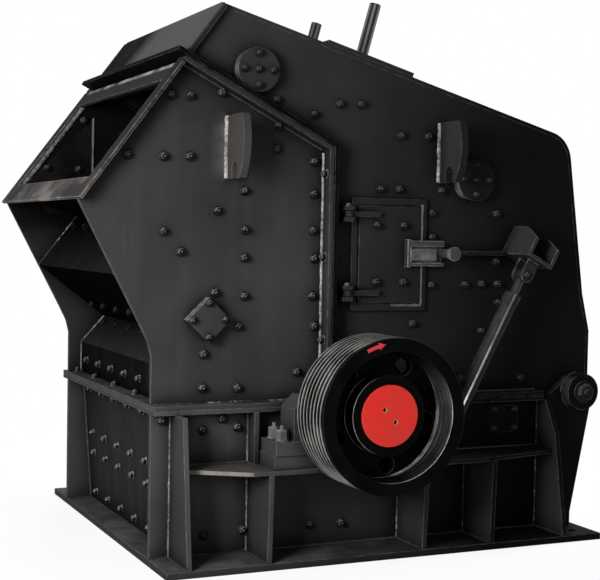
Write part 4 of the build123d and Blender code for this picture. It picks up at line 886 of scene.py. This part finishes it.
for name, (body, finish, kind, spots) in boltPieces.items():
    slotName = "bright_steel" if finish == "brightBolt" else "black_paint"
    seat(copies(masters[kind], spots, name), body, finish)
print("bolts, studs and pins placed")

# weld beads: a lumpy tube sunk in the corner of two plates
beadShape = {"sides": 7, "step": 0.010, "lumps": 0.007, "lumpSize": 0.024}
lumpTexture = bpy.data.textures.new("beadLumps", "CLOUDS")
lumpTexture.noise_scale = beadShape["lumpSize"]
lumpTexture.noise_depth = 1


def bead(start, end, radius):
    run = end - start
    clearPick()
    bpy.ops.mesh.primitive_cylinder_add(vertices=beadShape["sides"], radius=radius, depth=run.length,
                                        end_fill_type="TRIFAN")
    tube = bpy.context.object
    tube.matrix_world = pointing((start + end) / 2, run)
    half = run.length / 2

    def isLong(edge):
        ends = [tube.data.vertices[number].co.z for number in edge.vertices]
        return abs(ends[0] - ends[1]) > half

    pick(tube, "EDGE", isLong)
    bpy.ops.mesh.subdivide(number_cuts=max(1, int(run.length / beadShape["step"])))
    mode("OBJECT")
    lump = tube.modifiers.new("lumps", "DISPLACE")
    lump.texture = lumpTexture
    lump.texture_coords = "GLOBAL"
    lump.strength = beadShape["lumps"]
    bpy.ops.object.modifier_apply(modifier="lumps")
    return tube


def mirrored(runs):  # each run is two (X, Y, Z) ends in mm on the near side
    both = []
    for start, end in runs:
        both.append((metres(*start), metres(*end)))
        both.append((metres(start[0], -start[1], start[2]), metres(end[0], -end[1], end[2])))
    return both


collar = {"radius": 101, "face": -841, "turns": (95, 112, 129, 146, 163, 180)}
collarPoints = [(hingePin[0] + collar["radius"] * math.cos(angle), collar["face"],
                 hingePin[1] + collar["radius"] * math.sin(angle))
                for angle in map(math.radians, collar["turns"])]
ribFoot = [-1130, -1105, -723, -698, 130, 155, 532, 557, 992]
ribBack = [(-1105, 741), (-698, 463), (130, 463), (155, 463), (532, 463), (557, 463), (992, 741)]
# body, finish, radius in m and the runs on the near side
weldRuns = {
    "frontLugWelds": ("base", "brightWeld", 0.014, [((x, -800, 1887), (x, -800, 2190)) for x in (-858, -818)]),
    "rearLugWelds": ("rear_housing", "brightWeld", 0.013, [
        ((x, -794, 1905), (x, -794, 2215)) for x in (340, 380)]),
    "frontFlangeWelds": ("base", "brightWeld", 0.009, [((-335, -800, 790), (-335, -800, 2030))]),
    "frontFootWelds": ("base", "patchyWeld", 0.006, [
        ((low, -800, 786), (high, -800, 786)) for low, high in ((-1225, -1010), (-940, -700), (-620, -470))]),
    "frontSlopeWelds": ("base", "dullWeld", 0.007, [((-1085, -800, 2424), (-345, -800, 2047))]),
    "rearFlangeWelds": ("rear_housing", "dullWeld", 0.007, [
        ((-285, -794, 860), (-285, -794, 2060)), ((-100, -794, 790), (975, -794, 790))]),
    "doorFrameWelds": ("rear_housing", "smoothWeld", 0.008, [
        ((235, -813, 1262), (235, -813, 1783)), ((60, -813, 1259), (235, -813, 1259))]),
    "ribWelds": ("base", "seamWeld", 0.007, [((x, -800, 36), (x, -800, 739)) for x in (-1130, -723)]),
    "ribSeams": ("base", "patchyWeld", 0.006, [((x, -800, 36), (x, -800, top - 2)) for x, top in ribBack]),
    "ribFootWelds": ("base", "dullWeld", 0.007, [((x, -805, 35), (x, -1066, 35)) for x in ribFoot]),
    "baseSeamWelds": ("base", "dullWeld", 0.008, [
        ((-1225, -800, 35), (1195, -800, 35)), ((-1085, -775, 35), (-1136, -775, 738)),
        ((-1100, -800, 484), (985, -800, 484))]),
    "frontWallWelds": ("base", "seamWeld", 0.007, [
        ((-1154, -775, 790), (-1154, -775, 962)), ((-1154, -775, 962), (-1019, -775, 1111))]),
    "ledgeWelds": ("base", "patchyWeld", 0.007, [((-1413, -775, 1415), (-1180, -775, 1713))]),
    "mouthWelds": ("base", "seamWeld", 0.013, [((-1560, -772, 1803), (-1160, -772, 2340))]),
    "hingeCollarWelds": ("base", "patchyWeld", 0.008, list(zip(collarPoints[:-1], collarPoints[1:]))),
}
for name, (body, finish, radius, runs) in weldRuns.items():
    tubes = [bead(start, end, radius) for start, end in mirrored(runs)]
    seat(joined(tubes, name), body, finish, 60.0)
print("welds run")

# liner plates inside the feed mouth, with their own bolts
mouthLiner = {"wall": 775, "face": 761, "x": (-1512, -1096), "z": (1712, 2352), "bevel": 0.003,
              "mouth": ((-1512, 1868), (-1148, 2352)), "floor": ((-1512, 1868), (-1128, 1714)),
              "bolts": [(-1158, 2262), (-1372, 1975), (-1186, 1975)]}


def linerPlate(side):
    plate = slab(mouthLiner["x"], (side * mouthLiner["face"], side * mouthLiner["wall"]), mouthLiner["z"])
    for (startX, startZ), (endX, endZ), keep in ((*mouthLiner["mouth"], 1), (*mouthLiner["floor"], -1)):
        mode("EDIT")
        bpy.ops.mesh.select_all(action="SELECT")
        bpy.ops.mesh.bisect(plane_co=metres(startX, 0, startZ), use_fill=True, clear_outer=True,
                            plane_no=(keep * (startZ - endZ), 0, keep * (endX - startX)))
        mode("OBJECT")
    trim = plate.modifiers.new("trim", "BEVEL")
    trim.width = mouthLiner["bevel"]
    trim.segments = 2
    bpy.ops.object.modifier_apply(modifier="trim")
    return plate


liners = joined([linerPlate(-1), linerPlate(1)], "mouthLiners")
seat(liners, "base", "linerSteel")
linerSpots = [(metres(x, side * mouthLiner["face"], z), Vector((0, -side, 0)), 31 * count)
              for count, (x, z) in enumerate(mouthLiner["bolts"]) for side in (-1, 1)]
seat(copies(masters["liner"], linerSpots, "mouthLinerBolts"), "base", "boltSteel")
for master in masters.values():
    bpy.data.objects.remove(master)
print("mouth lined")

# rubber strip that keeps the dust in where the rear housing meets its hinge
dustSeal = {"x": (986, 1122), "z": (770, 800), "wall": 800, "face": 804, "lip": 2.0}


def sealStrip(side):
    strip = slab(dustSeal["x"], (side * dustSeal["wall"], side * dustSeal["face"]), dustSeal["z"])
    pick(strip, "FACE", lambda face: face.normal.y * side > 0.9)
    bpy.ops.mesh.inset(thickness=dustSeal["lip"] / 1000)
    extrude(0, side * dustSeal["lip"] / 1000, 0)
    mode("OBJECT")
    return strip


seals = joined([sealStrip(-1), sealStrip(1)], "dustSeals")
seat(seals, "base", "sealRubber")
print("seals on")

# floor, light and white surround
studio = {"floorHalf": 40.0, "floorTone": 0.90, "floorWhite": 0.88, "fill": 0.06, "near": 1.7, "far": 3.4}


def whiteRays(wire):  # camera, mirror and glass rays, which see plain white
    rays = ("Is Camera Ray", "Is Glossy Ray", "Is Transmission Ray")
    seen, shine, clear = [wire.node("ShaderNodeLightPath", out=ray) for ray in rays]
    return seen.most(shine).most(clear)


clearPick()
bpy.ops.mesh.primitive_plane_add(size=2 * studio["floorHalf"], location=(0, 0, -0.001))
floor = bpy.context.object
floor.name = "studioFloor"
floorFinish = bpy.data.materials.new("floorFinish")
floorFinish.use_nodes = True
floorTree = floorFinish.node_tree
floorWire = Wire(floorTree)
floorTree.nodes.remove(floorTree.nodes["Principled BSDF"])
matte = floorWire.node("ShaderNodeBsdfDiffuse", {}, {"Color": grey(studio["floorTone"])})
white = floorWire.node("ShaderNodeEmission", {}, {"Color": grey(1.0), "Strength": 1.0})
floorX, floorY = axes(floorWire.node("ShaderNodeTexCoord", out="Object"))[:2]
away = spread((floorX * floorX + floorY * floorY).root(), studio["near"], studio["far"])
shown = whiteRays(floorWire) * (studio["floorWhite"] + (1 - studio["floorWhite"]) * away)
lit = floorWire.node("ShaderNodeMixShader", {}, {0: shown, 1: matte, 2: white})
floorTree.links.new(lit.socket, floorTree.nodes["Material Output"].inputs["Surface"])
floor.data.materials.append(floorFinish)

world = bpy.data.worlds.new("whiteSurround")
bpy.context.scene.world = world
world.use_nodes = True
worldTree = world.node_tree
worldWire = Wire(worldTree)
soft = worldWire.node("ShaderNodeBackground", {}, {"Color": grey(1.0), "Strength": studio["fill"]})
white = worldWire.node("ShaderNodeBackground", {}, {"Color": grey(1.0), "Strength": 1.0})
both = worldWire.node("ShaderNodeMixShader", {}, {0: whiteRays(worldWire), 1: soft, 2: white})
worldTree.links.new(both.socket, worldTree.nodes["World Output"].inputs["Surface"])

lightBoxes = [
    {"name": "keyBox", "place": (-4.6, -3.6, 2.4), "aim": (-0.7, -0.6, 1.3), "size": 2.0, "watts": 400},
    {"name": "frontBox", "place": (0.5, -9.0, 3.2), "aim": (-0.4, -0.5, 1.3), "size": 3.0, "watts": 60},
    {"name": "backBox", "place": (2.0, 7.0, 4.0), "aim": (0.0, 0.3, 1.3), "size": 3.0, "watts": 620,
     "dull": True},
    {"name": "rearBox", "place": (6.4, 0.6, 3.6), "aim": (0.6, 0.1, 1.3), "size": 2.6, "watts": 480,
     "dull": True},
]
for box in lightBoxes:
    clearPick()
    bpy.ops.object.light_add(type="AREA", location=box["place"])
    lamp = bpy.context.object
    lamp.name = box["name"]
    lamp.data.shape = "SQUARE"
    lamp.data.size = box["size"]
    lamp.data.energy = box["watts"]
    lamp.visible_camera = False
    lamp.visible_glossy = not box.get("dull", False)  # the back lights leave no glare on the paint
    lamp.rotation_euler = (Vector(box["aim"]) - Vector(box["place"])).to_track_quat("-Z", "Y").to_euler()
clearPick()
print("studio lit")
